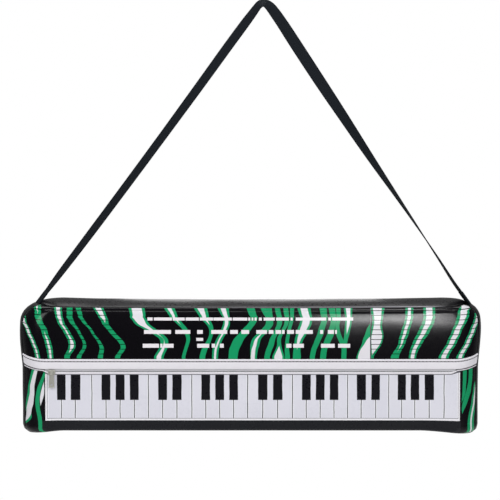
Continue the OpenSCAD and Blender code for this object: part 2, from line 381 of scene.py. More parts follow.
def raised(wire, height, strength, depth):
    """The bump that makes a surface look as uneven as this height."""
    return wire.node("Bump", None, {"Strength": strength, "Distance": depth, "Height": height})


def leather_grain(wire, strength):
    """The bump of pressed grain, and the folds and dents that make the shine uneven."""
    place = wire.node("TexCoord", output=3)
    pebbles = wire.node("TexVoronoi", {"feature": "SMOOTH_F1"}, {"Vector": place, "Scale": GRAIN_PER_M})
    folds, dents = mottle(wire, FOLDS_PER_M, 3.0), mottle(wire, DENTS_PER_M)
    return raised(wire, 0.5 * pebbles + 0.6 * folds + 1.6 * dents, strength, 0.35 * MM), folds, dents


def plain_leather(wire):
    bump, folds, dents = leather_grain(wire, 0.12)
    colour = dents.mix(tint(8, 7, 10), tint(15, 13, 18))
    return {"Base Color": colour, "Roughness": 0.22 + 0.14 * folds, "Normal": bump}


def top_leather(wire):
    """The same leather, with a painted highlight as a paler line along the turned front edge; brighter on the right.
    """
    sockets = plain_leather(wire)
    along, across, _ = flat_place(wire)
    # painted highlight: a pale line along the turned front edge, fading towards the ends and stronger on the right
    edge = abs(across - EDGE_HIGHLIGHT_AT) < EDGE_HIGHLIGHT_HALF
    highlight_fade = (0.3 + along * 3).clamp() & (1 - (abs(along) - EDGE_HIGHLIGHT_REACH) * 30).clamp()
    sockets["Base Color"] = (edge * highlight_fade).mix(sockets["Base Color"], tint(150, 148, 156))
    return sockets


def band_leather(wire):
    """White leather, with painted shade in its sewn groove."""
    bump, folds, dents = leather_grain(wire, 0.15)
    colour = (0.6 * folds + 0.4 * dents).clamp().mix(tint(226, 223, 230), tint(238, 236, 241))
    # painted shade: the sewn groove is darkened in the colour
    groove_shade = abs(flat_place(wire)[1] - GROOVE_Z) < GROOVE_SHADE_HALF
    colour = groove_shade.mix(colour, tint(112, 109, 114))
    return {"Base Color": colour, "Roughness": 0.4 + 0.2 * folds, "Normal": bump}


black_leather = finish("black_leather", plain_leather, Specular_IOR_Level=0.4)
top_finish = finish("black_leather_top", top_leather, Specular_IOR_Level=0.4)
white_leather = finish("white_band", band_leather, Specular_IOR_Level=0.4)
print("leathers", black_leather.name, white_leather.name)

# %% Cloths and webbing
TAPE_SHADOW_Z = ZIP_Z - 0.6 * MM           # a painted shadow line along the zip, just under its middle


def weave(wire, pitch, tall=1.0):
    """Threads over and under each other, on the piece's own flat lengths; returns a height."""
    along, across, _ = flat_place(wire)
    turn = 2 * math.pi / pitch
    return 0.5 + 0.5 * (along * turn).math("SINE") * (across * (turn / tall)).math("SINE")


def webbing_weave(wire):
    height, fibre = weave(wire, 1.7 * MM, 0.9), mottle(wire, 900.0)
    bump = raised(wire, height + 0.3 * fibre, 0.7, 0.25 * MM)
    colour = (0.7 * height + 0.3 * fibre).clamp().mix(tint(10, 14, 19), tint(26, 33, 41))
    return {"Base Color": colour, "Roughness": 0.6 + 0.25 * fibre, "Normal": bump}


def cloth(dark, light, pitch, shadow_z=None):
    """A plain woven cloth, with a painted shadow line at the given height if it has one."""
    def build(wire):
        height, fibre = weave(wire, pitch), mottle(wire, 400.0)
        bump = raised(wire, height + fibre, 0.5, 0.15 * MM)
        colour = (0.5 * height + 0.5 * fibre).clamp().mix(tint(*dark), tint(*light))
        if shadow_z is not None:
            # painted shadow: a dark line across the tape at this height
            in_shadow = abs(flat_place(wire)[1] - shadow_z) < 0.5 * MM
            colour = in_shadow.mix(colour, tint(88, 87, 92))
        return {"Base Color": colour, "Roughness": 0.7 + 0.2 * fibre, "Normal": bump}
    return build


webbing = finish("webbing", webbing_weave, Specular_IOR_Level=0.2)
tape_cloth = finish("zip_tape", cloth((206, 205, 211), (228, 227, 232), 1.1 * MM, TAPE_SHADOW_Z))
lining_cloth = finish("lining", cloth((44, 46, 51), (66, 68, 74), 1.4 * MM), Specular_IOR_Level=0.3)
print("cloths", webbing.name, tape_cloth.name, lining_cloth.name)

# %% Nylon, thread, metal and board
def speckled(dark, light, scale, rough, strength=0.2):
    """A material that varies a little all over."""
    def build(wire):
        fine = mottle(wire, scale, 4.0)
        return {"Base Color": fine.mix(tint(*dark), tint(*light)), "Roughness": rough + 0.2 * fine,
                "Normal": raised(wire, fine, strength, 0.1 * MM)}
    return build


nylon = finish("zip_coil", speckled((200, 200, 205), (226, 226, 230), 500.0, 0.3))
thread = finish("thread", speckled((206, 205, 212), (236, 235, 240), 2000.0, 0.5, 0.5))
zinc = finish("zip_metal", speckled((188, 187, 178), (214, 213, 204), 700.0, 0.3), Metallic=0.55)
board = finish("board", speckled((196, 188, 170), (222, 216, 200), 300.0, 0.75))
print("small finishes", nylon.name, thread.name, zinc.name, board.name)

# %% [markdown]
# ## The bag's form
#
# The bag is a lofted shell: in plan each end is a quarter of an ellipse, the two long sides swell
# a little at the height of the zip, and the corners are round. A piece of its skin is described
# by how far it lies along the skin from the middle and how high it stands, so a print or a seam
# follows the surface. The same functions place every layer, which keeps them parallel.

# %% Form of the bag
FRONT, BACK = -1, 1
END_ROUND = 24 * MM          # how far an end's rounding reaches along the bag
QUARTER = 47 * MM            # along the skin, round one quarter of an end
FLAT = HALF_LEN - END_ROUND  # along the skin, from the middle to where an end starts to round
STRAIGHT = 150 * MM          # the stretch in which nothing is gathered in towards the corners
SEAM_TURN = math.radians(62) # how far round the end the front reaches, to its seam with the back
SEAM_U = FLAT + QUARTER * SEAM_TURN / (math.pi / 2)
CORNER = {-1: 18 * MM, 1: 14 * MM}       # radius of the upper corners, left and right
CORNER_LOW = 3.5 * MM        # radius of the lower corners
END_SWELL = 2.9 * MM         # how much an end stands out between the zip and the top seam
BELLY = 7 * MM               # how much further the zip stands out than the top seam
TOP_DEPTH = -FACE_Y - BELLY
BASE_TUCK = 1.5 * MM
DROOP = {-1: (188 * MM, 4.2 * MM, 1.4), 1: (172 * MM, 4.9 * MM, 1.3)}   # start, most, easing
DROOP_END, DROOP_HEIGHT = 222 * MM, 14 * MM
BAND_CLIMB = 3.4 * MM        # how much higher the band lies at the end seams than in the middle
FRONT_SAG, BACK_SAG = 0.9 * MM, 2.2 * MM     # of the two top seams, mid-length


def smooth(low, high, value):
    """0 below low, 1 above high, and an easy rise between them."""
    t = min(1, max(0, (value - low) / (high - low)))
    return t * t * (3 - 2 * t)


def half_length(z, end):
    """From the bag's middle to its end at height z; end is -1 on the left and 1 on the right."""
    upper = z >= ZIP_Z
    radius = CORNER[end] if upper else CORNER_LOW
    depth = max(0, min(radius, TOP_Z - z if upper else z - BASE_Z))
    part = min(1, max(0, (z - ZIP_Z) / (TOP_Z - ZIP_Z)))
    swell = END_SWELL * math.sin(math.pi * part ** 1.25)
    return HALF_LEN + swell - radius + math.sqrt(radius ** 2 - (radius - depth) ** 2)


def half_depth(z):
    """From the bag's middle plane to its front or back at height z."""
    if z < ZIP_Z:
        return TOP_DEPTH + BELLY - BASE_TUCK * ((ZIP_Z - z) / (ZIP_Z - BASE_Z)) ** 2
    return TOP_DEPTH + BELLY * (1 - min(1, (z - ZIP_Z) / (TOP_Z - ZIP_Z)) ** 2.6)


def droop(x, z):
    """How far the soft lower corners hang below the base."""
    start, amount, easing = DROOP[1 if x > 0 else -1]
    part = min(1, max(0, (abs(x) - start) / (DROOP_END - start)))
    return amount * part ** easing * (1 - smooth(0, DROOP_HEIGHT, z - BASE_Z))


def end_rise(u):
    """How far the band and its seam climb where they run round an end."""
    part = (abs(u) - FLAT) / (SEAM_U - FLAT)
    return BAND_CLIMB * min(1, max(0, part)) ** 1.5


def seam_sag(u, part):
    """How far the top seams hang; part runs from -1 at the front seam to 1 at the back one."""
    most = FRONT_SAG + (BACK_SAG - FRONT_SAG) * (part + 1) / 2
    return most * max(0, 1 - (u / FLAT) ** 2)


def on_bag(u, z, side=FRONT, out=0.0):
    """The point u along the skin from the middle at height z, and out above the skin."""
    end = 1 if u > 0 else -1
    away, start = abs(u), half_length(z, end) - END_ROUND
    turn = max(0, away - FLAT) / QUARTER * math.pi / 2
    if away <= STRAIGHT:
        x = away
    elif away <= FLAT:
        x = STRAIGHT + (away - STRAIGHT) * (start - STRAIGHT) / (FLAT - STRAIGHT)
    else:
        x = start + END_ROUND * math.sin(turn)
    depth = half_depth(z)
    facing = Vector((math.sin(turn) * depth, math.cos(turn) * END_ROUND)).normalized()
    x += out * facing.x
    y = depth * math.cos(turn) + out * facing.y
    return Vector((MIDDLE_X + end * x, side * y, z - droop(end * x, z)))


def along_skin(x, z):
    """How far along the skin a spot lies that is seen from the front at x from the middle."""
    end, away = (1 if x > 0 else -1), abs(x)
    start = half_length(z, end) - END_ROUND
    if away <= STRAIGHT:
        return x
    if away <= start:
        return end * (STRAIGHT + (away - STRAIGHT) * (FLAT - STRAIGHT) / (start - STRAIGHT))
    part = (away - start) / END_ROUND
    if part > 1:
        return end * (FLAT + QUARTER * part)
    return end * (FLAT + QUARTER * math.asin(part) / (math.pi / 2))


print("skin from the middle to the end seam:", round(SEAM_U, 4))

# %% [markdown]
# ## The print above the zip
#
# The stripes are printed on the leather. Each could be a decal, but a print is only colour, so
# the material draws it: a ramp holds a stripe's middle, width and white core up the height of
# the panel, and each spot compares its own distance from that middle with the width. Heights
# and places are millimetres on the bag's front, as a pattern cutter would note them.

# %% Stripes: places at six heights, then widths and white cores at the same heights
# A width or a core below nothing is a stripe that hasn't begun or has run out.
UPPER_HEIGHTS = (74, 84, 94, 104, 112.5, 122.5)
UPPER_LEFT = [
    ((-213.3, -216.2, -220.8, -225.7, -228.7, -231), (5, 5, 5, 5, 5, 5), (1.5, 1.8, 2.3, 3, 3, 3)),
    ((-200.3, -201.8, -204.8, -208.3, -212.7, -215.3), (5.5, 6.3, 6, 6, 6.5, 6.5), (2, 2, 1.2, -1, -1, 1.4)),
    ((-183.8, -178.8, -181.3, -187.3, -191.3, -194.3), (5.5, 7, 6.5, 6.5, 7, 8), (-2, 3.2, 1.6, 1.8, 3, 4)),
    ((-171.8, -166.3, -169.3, -175.3, -180.8, -182.3), (4.5, 3.5, 2.8, 3.5, 5.5, 6), None),
    ((-150.3, -149.3, -155.3, -162.3, -169.3, -173.3), (5, 4, 2.8, 3, 4, 5.5), None),
    ((-133, -127.5, -134.3, -143, -147, -152.3), (5.2, 5, 5.6, 5.6, 8, 10.3), (-3, -3, -3, -3, 3, 6)),
    ((-91.7, -87, -89, -104.3, -112, -114), (9.5, 8, 8.8, 13, 15, 16), (4.5, 2, 0.2, 6, 10, 10)),
    ((-66.9, -64.1, -62.5, -67.4, -75.3, -81), (3.5, 3.5, 4, 5.6, 7, 10.4), (-3, -3, -3, -1, 2, 4)),
    ((-48.1, -44.6, -40, -39.8, -45.1, -49.7), (5.6, 5.5, 3.7, 5, 8.5, 13), (-3, -3, -3, -1, 3, 6.4)),
    ((-35.4, -33.9, -29.5, -24.7, -23.9, -27.1), (6, 6.4, 6.4, 7, 6.4, 11), (2, 2, 1.5, 3, 3.5, 5)),
    ((-17.3, -15.1, -9.5, -1.3, 3.7, 0.5), (9, 10, 10, 8, 7, 8), None)]
UPPER_RIGHT = [
    ((-17.3, -15.1, -9.5, -1.3, 3.7, 0.5), (9, 10, 10, 8, 7, 8), None),
    ((2.5, 4, 8, 17.5, 19.2, 16), (8, 9, 8.5, 8, 7, 11), (4, 3.5, 2, -1, -1, -1)),
    ((16.8, 20, 23.3, 28.2, 29.4, 27.2), (5.5, 6, 5.2, 5, 5, 5.2), None),
    ((28.1, 28.9, 29.5, 34.8, 36.8, 35.6), (12, 5, 4, 4, 4.6, 5), (8, 0.5, -3, -3, -3, -3)),
    ((37.2, 36.7, 37.6, 39.6, 41.8, 41.8), (5, 4, 3.6, 3.6, 3.6, 4.2), None),
    ((46.7, 47.2, 50, 54.2, 56.3, 53.9), (8, 7, 9.5, 12, 11.5, 13), (-2, 1, 4.5, 7, 7, 7)),
    ((62.2, 64.8, 69.1, 72.2, 74.3, 73), (5, 5.5, 6, 6, 6, 7), None),
    ((73, 75, 79.4, 82.2, 83.4, 81.8), (6, 6, 7, 5.5, 5.5, 6.5), None),
    ((93.8, 93.5, 89.4, 87.3, 88.6, 88.2), (5, 5, 5, 4, 4, 4.5), None),
    ((94.2, 94.8, 96.2, 97.8, 98.6, 98.1), (4, 3.5, 4.5, 6, 6.5, 8.5), (-2, -2, -1, 2.5, 3, 4.5)),
    ((144.9, 150.4, 153.6, 156.7, 159.1, 159.9), (8, 6.5, 8, 8, 8, 8), (-1, 0.8, 2.5, 3, 3, 3)),
    ((162.6, 165.8, 171.1, 176.4, 179.4, 180.2), (7.2, 9, 11, 12, 12, 12), (3.5, 3.5, 4, 5, 6, 6.5)),
    ((193.9, 199.8, 204.6, 208.9, 213, 216.2), (10, 9.6, 10, 10, 12, 12), (4.5, 4.5, 5, 5, 5.6, 8)),
    ((210.5, 216.3, 221, 225.5, 228.3, 231), (7.5, 7, 7, 7, 6, 6), (3.5, 3.5, 3, 3.5, 3.5, 3.5))]
JOIN_X = 120.1               # where two lengths of the printed leather meet
LEFT_OF_JOIN = ((113.6, 117.7, 121, 125, 130, 130), (14, 14, 14, 14, 14, -2), None)
LEFT_CORE = ((115, 119.5, 126, 130, 130, 130), (14, 14, 12, -2, -2, -2), (14, 14, 12, -2, -2, -2))
RIGHT_OF_JOIN = ((121.7, 124.9, 126.8, 126.9, 127.7, 127.3), (4, 10, 13.3, 10.5, 10.5, 14.5),
                 (-1, 6.5, 10.5, 6.5, 6.5, 8.8))
LOWER_HEIGHTS = (0, 10, 22, 34, 46, 58)
LOWER_LEFT = [
    ((-226, -223.2, -224.6, -222.8, -221.6, -218), (-2, 4.5, 3, 3, 2.4, 2.8), None),
    ((-226, -224.8, -222, -219.6, -218.7, -215.2), (-2, 2.5, 5.6, 4.8, 4.3, 3.2),
     (-2, 2.5, 5.6, 4.8, 4.3, 3.2)),
    ((-207.8, -211.3, -213.5, -213.4, -210.6, -206), (3.6, 4, 4.2, 4, 3.7, 2), None),
    ((-211.5, -211.5, -211, -209.3, -207.5, -206.5), (-3, -3, -1, 3.4, 1, -3), (-3, -3, -1, 3.4, 1, -3))]
LOWER_RIGHT = [
    ((218.7, 222, 224.3, 225.6, 227, 228.5), (7, 6.4, 5.6, 4.2, 2.4, -2), (1.4, 1.6, 1.6, 1.2, 0.4, -2)),
    ((212, 213, 214.2, 218, 220.6, 221.5), (-3, -3, 3.4, 5, 4, 3.8), None),
    ((210, 210, 211, 214, 215, 215.4), (-3, -3, -2, 2.6, 3.5, 4), None)]
print(len(UPPER_LEFT) + len(UPPER_RIGHT) + 1, "stripes above the zip")

# %% Drawing a stripe
REACH, WIDEST, SOFT_EDGE = 270.0, 24.0, 0.45     # a ramp's range of places and widths; a stripe's blur
NO_STRIPE = -4.0             # a width below nothing, so that no blur is left of it


def finer(heights, values):
    """Adds places near the top seam and one past it, where the corners gather the skin in."""
    if not values or heights is LOWER_HEIGHTS:
        return values
    last, step = values[-1], values[-1] - values[-2]
    return (*values[:-1], last - 0.6 * step, last - 0.3 * step, last, last + 0.2 * step)


def up_the_panel(v, heights):
    """A height as a part, from 0 to 1, of the heights that the stripes are given at."""
    heights = finer(heights, heights)
    return (v - heights[0]) / (heights[-1] - heights[0])


def stripe(u, height, heights, row):
    """The green and the white part of one stripe, as masks from 0 to 1."""
    middles, widths, cores = [finer(heights, values) for values in row]
    stops = []
    for k, v in enumerate(finer(heights, heights)):
        width = abs(widths[k])
        left, right = [along_skin((middles[k] + end * width / 2) * MM, BASE_Z + v * MM) / MM for end in (-1, 1)]
        stretch = (right - left) / max(width, 0.1)
        halves = [max(0, 0.5 + stretch * w / 2 / WIDEST) for w in (widths[k], cores[k] if cores else NO_STRIPE)]
        stops.append((up_the_panel(v, heights), ((left + right) / 2 / (2 * REACH) + 0.5, *halves)))
    place, *halves = height.node("ValToRGB", {"blend_by": "CARDINAL", "stops": stops}, {0: height}).xyz()
    away = abs(u - (place - 0.5) * (2 * REACH))
    return [(((half - 0.5) * WIDEST - away) / SOFT_EDGE + 0.5).clamp() for half in halves]


def stripes(u, v, heights, rows):
    """All the stripes of one piece: everything they colour, and their white cores."""
    height = up_the_panel(v, heights)
    green = white = None
    for row in rows:
        one, core = stripe(u, height, heights, row)
        green = one | core if green is None else green | one | core
        if row[2]:
            white = core if white is None else white | core
    return green, white


print("a stripe is", SOFT_EDGE, "mm soft at its edge")

# %% Label bars
# Plain pale bars stand where a control panel has its labels: (height, thickness, [(from, to), ...])
BARS_LEFT = [
    (112, 3.1, [(-103.5, -98), (-97, -79), (-78, -65.8), (-65, -51.8), (-51, -37.8), (-37, -18.8), (-18, -3.2),
                (-2.2, -0.3)]),
    (98.9, 3.8, [(-106.8, -79.8), (-75.6, -60.4), (-53.3, -47.7), (-39.3, -23.3), (-20.5, -12.5),
                 (-9.3, -1.3)]),
    (91.5, 3, [(-54.3, -47.5)]),
    (85.1, 4, [(-108, -91.6), (-90.3, -88.3), (-87.3, -77.3), (-53.3, -41.3), (-38.8, -35.5), (-30.7, -26.7)])]
BARS_RIGHT = [
    (112, 3.1, [(1, 3), (4.2, 6.2), (8.5, 11.2), (13, 24.4), (25.7, 38.4), (40, 42.4), (45.5, 76), (78, 80.7),
                (81.8, 103)]),
    (98.9, 3.8, [(5.7, 16.7), (18.3, 23.1), (25.3, 30.7), (31.7, 34.2), (36.7, 43.7), (45.2, 62.7),
                 (69.7, 72.7), (77.7, 83.7), (84.7, 86.7)]),
    (85.1, 4, [(35.7, 41.2), (42.7, 53.7), (70.7, 84.5), (87.7, 99.7)])]
print(len(BARS_LEFT) + len(BARS_RIGHT), "rows of bars")

# %% Printing the upper front
BARS_REACH = 110.0
PRINT_DROP = 0.6             # the upper print sits this much lower than it was drawn
GRILLE_LOW, GRILLE_PITCH, GRILLE_LINE = 71.6, 4.85, 0.14     # the line is a part of the pitch
GRILLE_LEFT = -122.0         # left of this, and right of the join, fine lines cross the stripes
JOIN_WIDTH = 0.7
GREEN, WHITE = tint(16, 152, 98), tint(228, 226, 232)
PRINT_BLACK = tint(11, 9, 14)


def bars(u, v, rows, start):
    """A mask of the pale bars; start is where their ramp begins, in millimetres."""
    mask = None
    for height, thick, spans in rows:
        stops = [(0.0, (0, 0, 0))]
        for low, high in spans:
            stops += [((low - start) / BARS_REACH, (1, 1, 1)), ((high - start) / BARS_REACH, (0, 0, 0))]
        ramp = u.node("ValToRGB", {"blend_by": "CONSTANT", "stops": stops}, {0: (u - start) / BARS_REACH})
        row = ramp & (abs(v - height) < thick / 2)
        mask = row if mask is None else mask | row
    return mask


def print_shader(wire, colour, gloss=0.0):
    """The print is part of the leather's surface: same grain, a slightly more even shine."""
    bump, folds, dents = leather_grain(wire, 0.06)
    return {"Base Color": colour, "Roughness": 0.15 + gloss + 0.1 * folds + 0.05 * dents, "Normal": bump}


def upper_print(rows, bar_rows, right):
    def build(wire):
        u, v, _ = flat_place(wire)
        u, v = u * 1000, v * 1000 - PRINT_DROP
        green, white = stripes(u, v, UPPER_HEIGHTS, rows)
        if right:
            height, before, after = up_the_panel(v, UPPER_HEIGHTS), u < JOIN_X, u > JOIN_X + 0.4
            for row, here in ((LEFT_OF_JOIN, before), (LEFT_CORE, before), (RIGHT_OF_JOIN, after)):
                one, core = stripe(u, height, UPPER_HEIGHTS, row)
                green, white = green | (one & here), white | (core & here)
        grille_here = u > JOIN_X if right else u < GRILLE_LEFT
        grille = (((v - GRILLE_LOW) / GRILLE_PITCH).math("FRACT") < GRILLE_LINE) & grille_here
        green, white = green & (1 - grille), white & (1 - grille)
        worn_green = mottle(wire, 45.0, 3.0).mix(tint(12, 144, 93), tint(20, 163, 105))
        colour = white.mix(green.mix(PRINT_BLACK, worn_green), WHITE)
        colour = bars(u, v, bar_rows, 0.0 if right else -BARS_REACH).mix(colour, tint(238, 233, 238))
        if right:
            colour = (abs(u - (JOIN_X + JOIN_WIDTH)) < JOIN_WIDTH / 2).mix(colour, tint(96, 94, 102))
        return print_shader(wire, colour)
    return build


UPPER_PRINTS = {
    "left": finish("print_upper_left", upper_print(UPPER_LEFT, BARS_LEFT, False), Specular_IOR_Level=0.3),
    "right": finish("print_upper_right", upper_print(UPPER_RIGHT, BARS_RIGHT, True), Specular_IOR_Level=0.3)}
print("upper print:", [len(made.node_tree.nodes) for made in UPPER_PRINTS.values()], "nodes")

# %% [markdown]
# ## The keyboard below the zip
#
# Below the zip a keyboard of 29 white keys is printed in a white border. The keys repeat, so the
# material counts them: the place along the bag divided by a key's width gives the key's number
# and the spot within it. The print isn't quite even on a padded bag, so a ramp shifts the keys a
# millimetre or three along, as the real leather was stretched when it was sewn.

# %% Keyboard
KEYS, KEY_PITCH, KEYS_START, KEYS_END = 29, 14.24, -203.6, 209.35
KEYS_MIDDLE, KEYS_HALF = (KEYS_START + KEYS_END) / 2, (KEYS_END - KEYS_START) / 2
KEYS_LOW, KEYS_HIGH = 12.0, 57.0
BORDER = 2.4                 # of white round the keys
FRAME_LINE = 0.5             # of grey between the keys and their border
BLACK_LOW, BLACK_WIDTH = 30.5, 8.9
LINE_HALF, RIM_HALF = 0.42, 1.15         # the dark line between two keys, and the pale rims beside it
STRIP_START, STRIP_END = -212.0, 213.0   # a dark grey strip under the keyboard
SHIFT = [(0, 0), (2, -0.7), (3, 1.8), (9, 1.6), (10, 2.5), (14, 1.5), (17, 3.9), (20, 3), (22, 1.6), (23, 2.2),
         (26, -1.7), (29, 0)]
SHIFT_RANGE = 8.0


def key_number(wire, u):
    """How many keys lie to the left of a spot, with the print's own unevenness."""
    even = (u - KEYS_START) / KEY_PITCH
    stops = [(key / KEYS, (shift / SHIFT_RANGE + 0.5,) * 3) for key, shift in SHIFT]
    shift = wire.node("ValToRGB", {"blend_by": "LINEAR", "stops": stops}, {0: even / KEYS})
    pattern = wire.node("UVMap", {"uv_map": "pattern"})
    wave = wire.node("TexNoise", {"noise_dimensions": "2D"}, {"Vector": pattern, "Scale": 70.0, "Detail": 1.0})
    return even - (shift - 0.5) * (SHIFT_RANGE / KEY_PITCH) + (wave - 0.5) * 0.04


def lower_print(rows):
    def build(wire):
        u, v, _ = flat_place(wire)
        u, v = u * 1000, v * 1000
        green, white = stripes(u, v, LOWER_HEIGHTS, rows)
        key = key_number(wire, u)
        nearest = key.math("ROUND")
        gap = abs(key - nearest) * KEY_PITCH
        between = (nearest > 0.5) & (nearest < KEYS - 0.5)
        octave = (nearest / 7).math("FRACT") * 7
        has_black = (abs(octave - 1.5) < 0.8) | (abs(octave - 5) < 1.3)
        away = abs(u - KEYS_MIDDLE)
        keys = (away < KEYS_HALF) & (v > KEYS_LOW)
        bordered = (away < KEYS_HALF + BORDER) & (v > KEYS_LOW - BORDER)
        colour = PRINT_BLACK
        for mask, layer in (
                ((v < KEYS_LOW - BORDER) & (u > STRIP_START) & (u < STRIP_END), tint(33, 34, 38)),
                (green & (1 - bordered), GREEN),
                (white & (1 - bordered), WHITE),
                (bordered, tint(240, 239, 243)),
                ((away < KEYS_HALF + FRAME_LINE) & (v > KEYS_LOW - FRAME_LINE - 0.1) & (1 - keys),
                 tint(150, 149, 158)),
                (keys, mottle(wire, 22.0).mix(tint(218, 218, 229), tint(231, 230, 239))),
                (keys & (gap < RIM_HALF) & (gap > LINE_HALF), tint(242, 242, 246)),
                (keys & between & (gap < LINE_HALF), tint(66, 66, 78)),
                (keys & between & has_black & (gap < BLACK_WIDTH / 2) & (v > BLACK_LOW), tint(22, 21, 27)),
                (bordered & (v > KEYS_HIGH - 0.8), tint(112, 111, 120))):
            colour = mask.mix(colour, layer)
        return print_shader(wire, colour, 0.06)
    return build


LOWER_PRINTS = {
    "left": finish("print_lower_left", lower_print(LOWER_LEFT), Specular_IOR_Level=0.3),
    "right": finish("print_lower_right", lower_print(LOWER_RIGHT), Specular_IOR_Level=0.3)}
print("keyboard of", KEYS, "keys:", len(LOWER_PRINTS["left"].node_tree.nodes), "nodes")

# %% [markdown]
# ## Cutting and wrapping a piece
#
# A bag maker cuts each piece flat and then sews it round. The lesson does the same: a grid is
# added, its lines of points are moved to the distances that the piece needs, closer together
# where an edge rolls over, and its flat lengths are kept as a UV map for the print and the weave.
# Then the grid is laid on the form, and the Solidify modifier gives it its thickness.

# %% Cut a flat piece, and finish it
def cut(name, columns, rows):
    """A flat grid with its lines of points at these lengths along and up, and a map of them."""
    pick()
    bpy.ops.mesh.primitive_grid_add(x_subdivisions=len(columns) - 1, y_subdivisions=len(rows) - 1, size=2)
    piece = named(name)
    piece.data.uv_layers.active.name = "pattern"
    for point in piece.data.vertices:
        i = round((point.co.x + 1) / 2 * (len(columns) - 1))
        j = round((point.co.y + 1) / 2 * (len(rows) - 1))
        point.co = (columns[i], rows[j], 0)
    for loop, corner in zip(piece.data.loops, piece.data.uv_layers["pattern"].data):
        corner.uv = piece.data.vertices[loop.vertex_index].co.xy
    return piece


def lay(piece, where):
    """Moves each point of a flat piece to its place; where takes the two flat lengths."""
    for point in piece.data.vertices:
        point.co = where(point.co.x, point.co.y)
    piece.data.update()


def modify(piece, kind, **settings):
    """Adds a modifier and applies it."""
    pick(piece)
    bpy.ops.object.modifier_add(type=kind)
    for name, value in settings.items():
        setattr(piece.modifiers[-1], name, value)
    bpy.ops.object.modifier_apply(modifier=piece.modifiers[-1].name)


def thicken(piece, thickness, offset=-1.0, even=True):
    """Gives a skin its thickness, inwards by default; even thickness suits all but pointed pieces."""
    modify(piece, "SOLIDIFY", thickness=thickness, offset=offset, use_even_offset=even)


def soften(piece, width, segments, degrees=60):
    """Rounds the edges at which a piece turns by more than this angle."""
    modify(piece, "BEVEL", width=width, segments=segments, limit_method="ANGLE",
           angle_limit=math.radians(degrees))


def close_poles(piece):
    """Joins the points that the laying brought together."""
    pick(piece)
    bpy.ops.object.mode_set(mode="EDIT")
    bpy.ops.mesh.select_all(action="SELECT")
    bpy.ops.mesh.remove_doubles(threshold=0.01 * MM)
    bpy.ops.object.mode_set(mode="OBJECT")


def finish_piece(piece, material, slot, smooth_angle=50):
    """Smooth shading, the material, and the slot that the piece takes its finish from."""
    pick(piece)
    bpy.ops.object.shade_smooth_by_angle(angle=math.radians(smooth_angle))
    piece.data.materials.clear()
    piece.data.materials.append(material)
    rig.slot(piece, slot)


def steps(start, stop, size):
    """Even steps of about this size from start to stop, both included."""
    count = max(1, round(abs(stop - start) / size))
    return [start + (stop - start) * k / count for k in range(count + 1)]


def mirrored(lengths, mirror):
    """The same lengths, or with mirror their mirror image, from left to right either way."""
    return [-u for u in reversed(lengths)] if mirror else lengths


ROLL = 1.3 * MM              # radius of a leather edge where it is turned into a seam
ROLL_STEPS = [0, 0.12 * MM, 0.35 * MM, 0.7 * MM, ROLL, 1.9 * MM]


def rolled(distance):
    """How deep a turned edge lies at this distance from its seam."""
    short = ROLL - min(ROLL, max(0.0, distance))
    return ROLL - math.sqrt(ROLL ** 2 - short ** 2)


def with_edges(start, stop, size, low_edge=True, high_edge=True):
    """Even steps with closer ones where an edge rolls over."""
    low = [start + d for d in ROLL_STEPS] if low_edge else [start]
    high = [stop - d for d in ROLL_STEPS] if high_edge else [stop]
    return low + steps(low[-1], high[-1], size)[1:-1] + high[::-1]


def padding(u, z, amount=0.35 * MM):
    """The uneven fullness of foam under leather."""
    return amount * noise.noise(Vector((u * 22, z * 34, 3.1)))


print("an edge rolls over in", len(ROLL_STEPS), "steps")

# %% [markdown]
# ## The two printed fronts
#
# The front opens along the zip, so it is two panels. The upper one lifts about the top seam and
# the lower one drops about the base, but both are sewn fast at their ends. Each panel is
# therefore made in a left and a right half that meet in the middle, and each half bends from the
# fixed bag at its end to the moving lip near the middle. One panel could not do that, because a
# blend runs one way only.

# %% Upper and lower front
SIDES = {"left": -1, "right": 1}
LIPS = {"upper": 1, "lower": -1}
SKIN = 1.2 * MM
FRONT_LOW, LOWER_EDGE = BASE_Z - 0.9 * MM, ZIP_Z - 1.5 * MM
SEAM_GAP = 0.35 * MM         # half the open groove between two turned edges
EASE = 20 * MM               # how far from a seam its own rise or sag is felt
CREASE_DROP = 3.2 * MM       # a pressed line that runs this far below the top seam
CREASE_DEPTH, CREASE_HALF = 0.5 * MM, 0.45 * MM
CLOSED_RISE = 2.0 * MM       # how much closer the lower edge comes where the zip no longer runs
LOWER_CLIMB = 0.75           # the lower edge's part of the band's climb at the ends


def half_columns(side, size=2.2 * MM):
    """From the end seam to the middle, for one half."""
    return mirrored(with_edges(-(SEAM_U - SEAM_GAP), 0, size, True, False), side > 0)


def past_zip(u):
    """0 along the zip and 1 past its end, where the lower edge comes closer to the band."""
    return smooth(FLAT - 5 * MM, FLAT + 4 * MM, abs(u))


def on_lip(piece, side, lip):
    """A half is fast to the bag at its end and moves with the lip from near the middle."""
    start, end = MIDDLE_X + side * MOUTH_HALF, MIDDLE_X + side * 0.35 * MOUTH_HALF
    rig.blend(piece, "bag", lip, start=(start, FACE_Y, ZIP_Z), end=(end, FACE_Y, ZIP_Z))


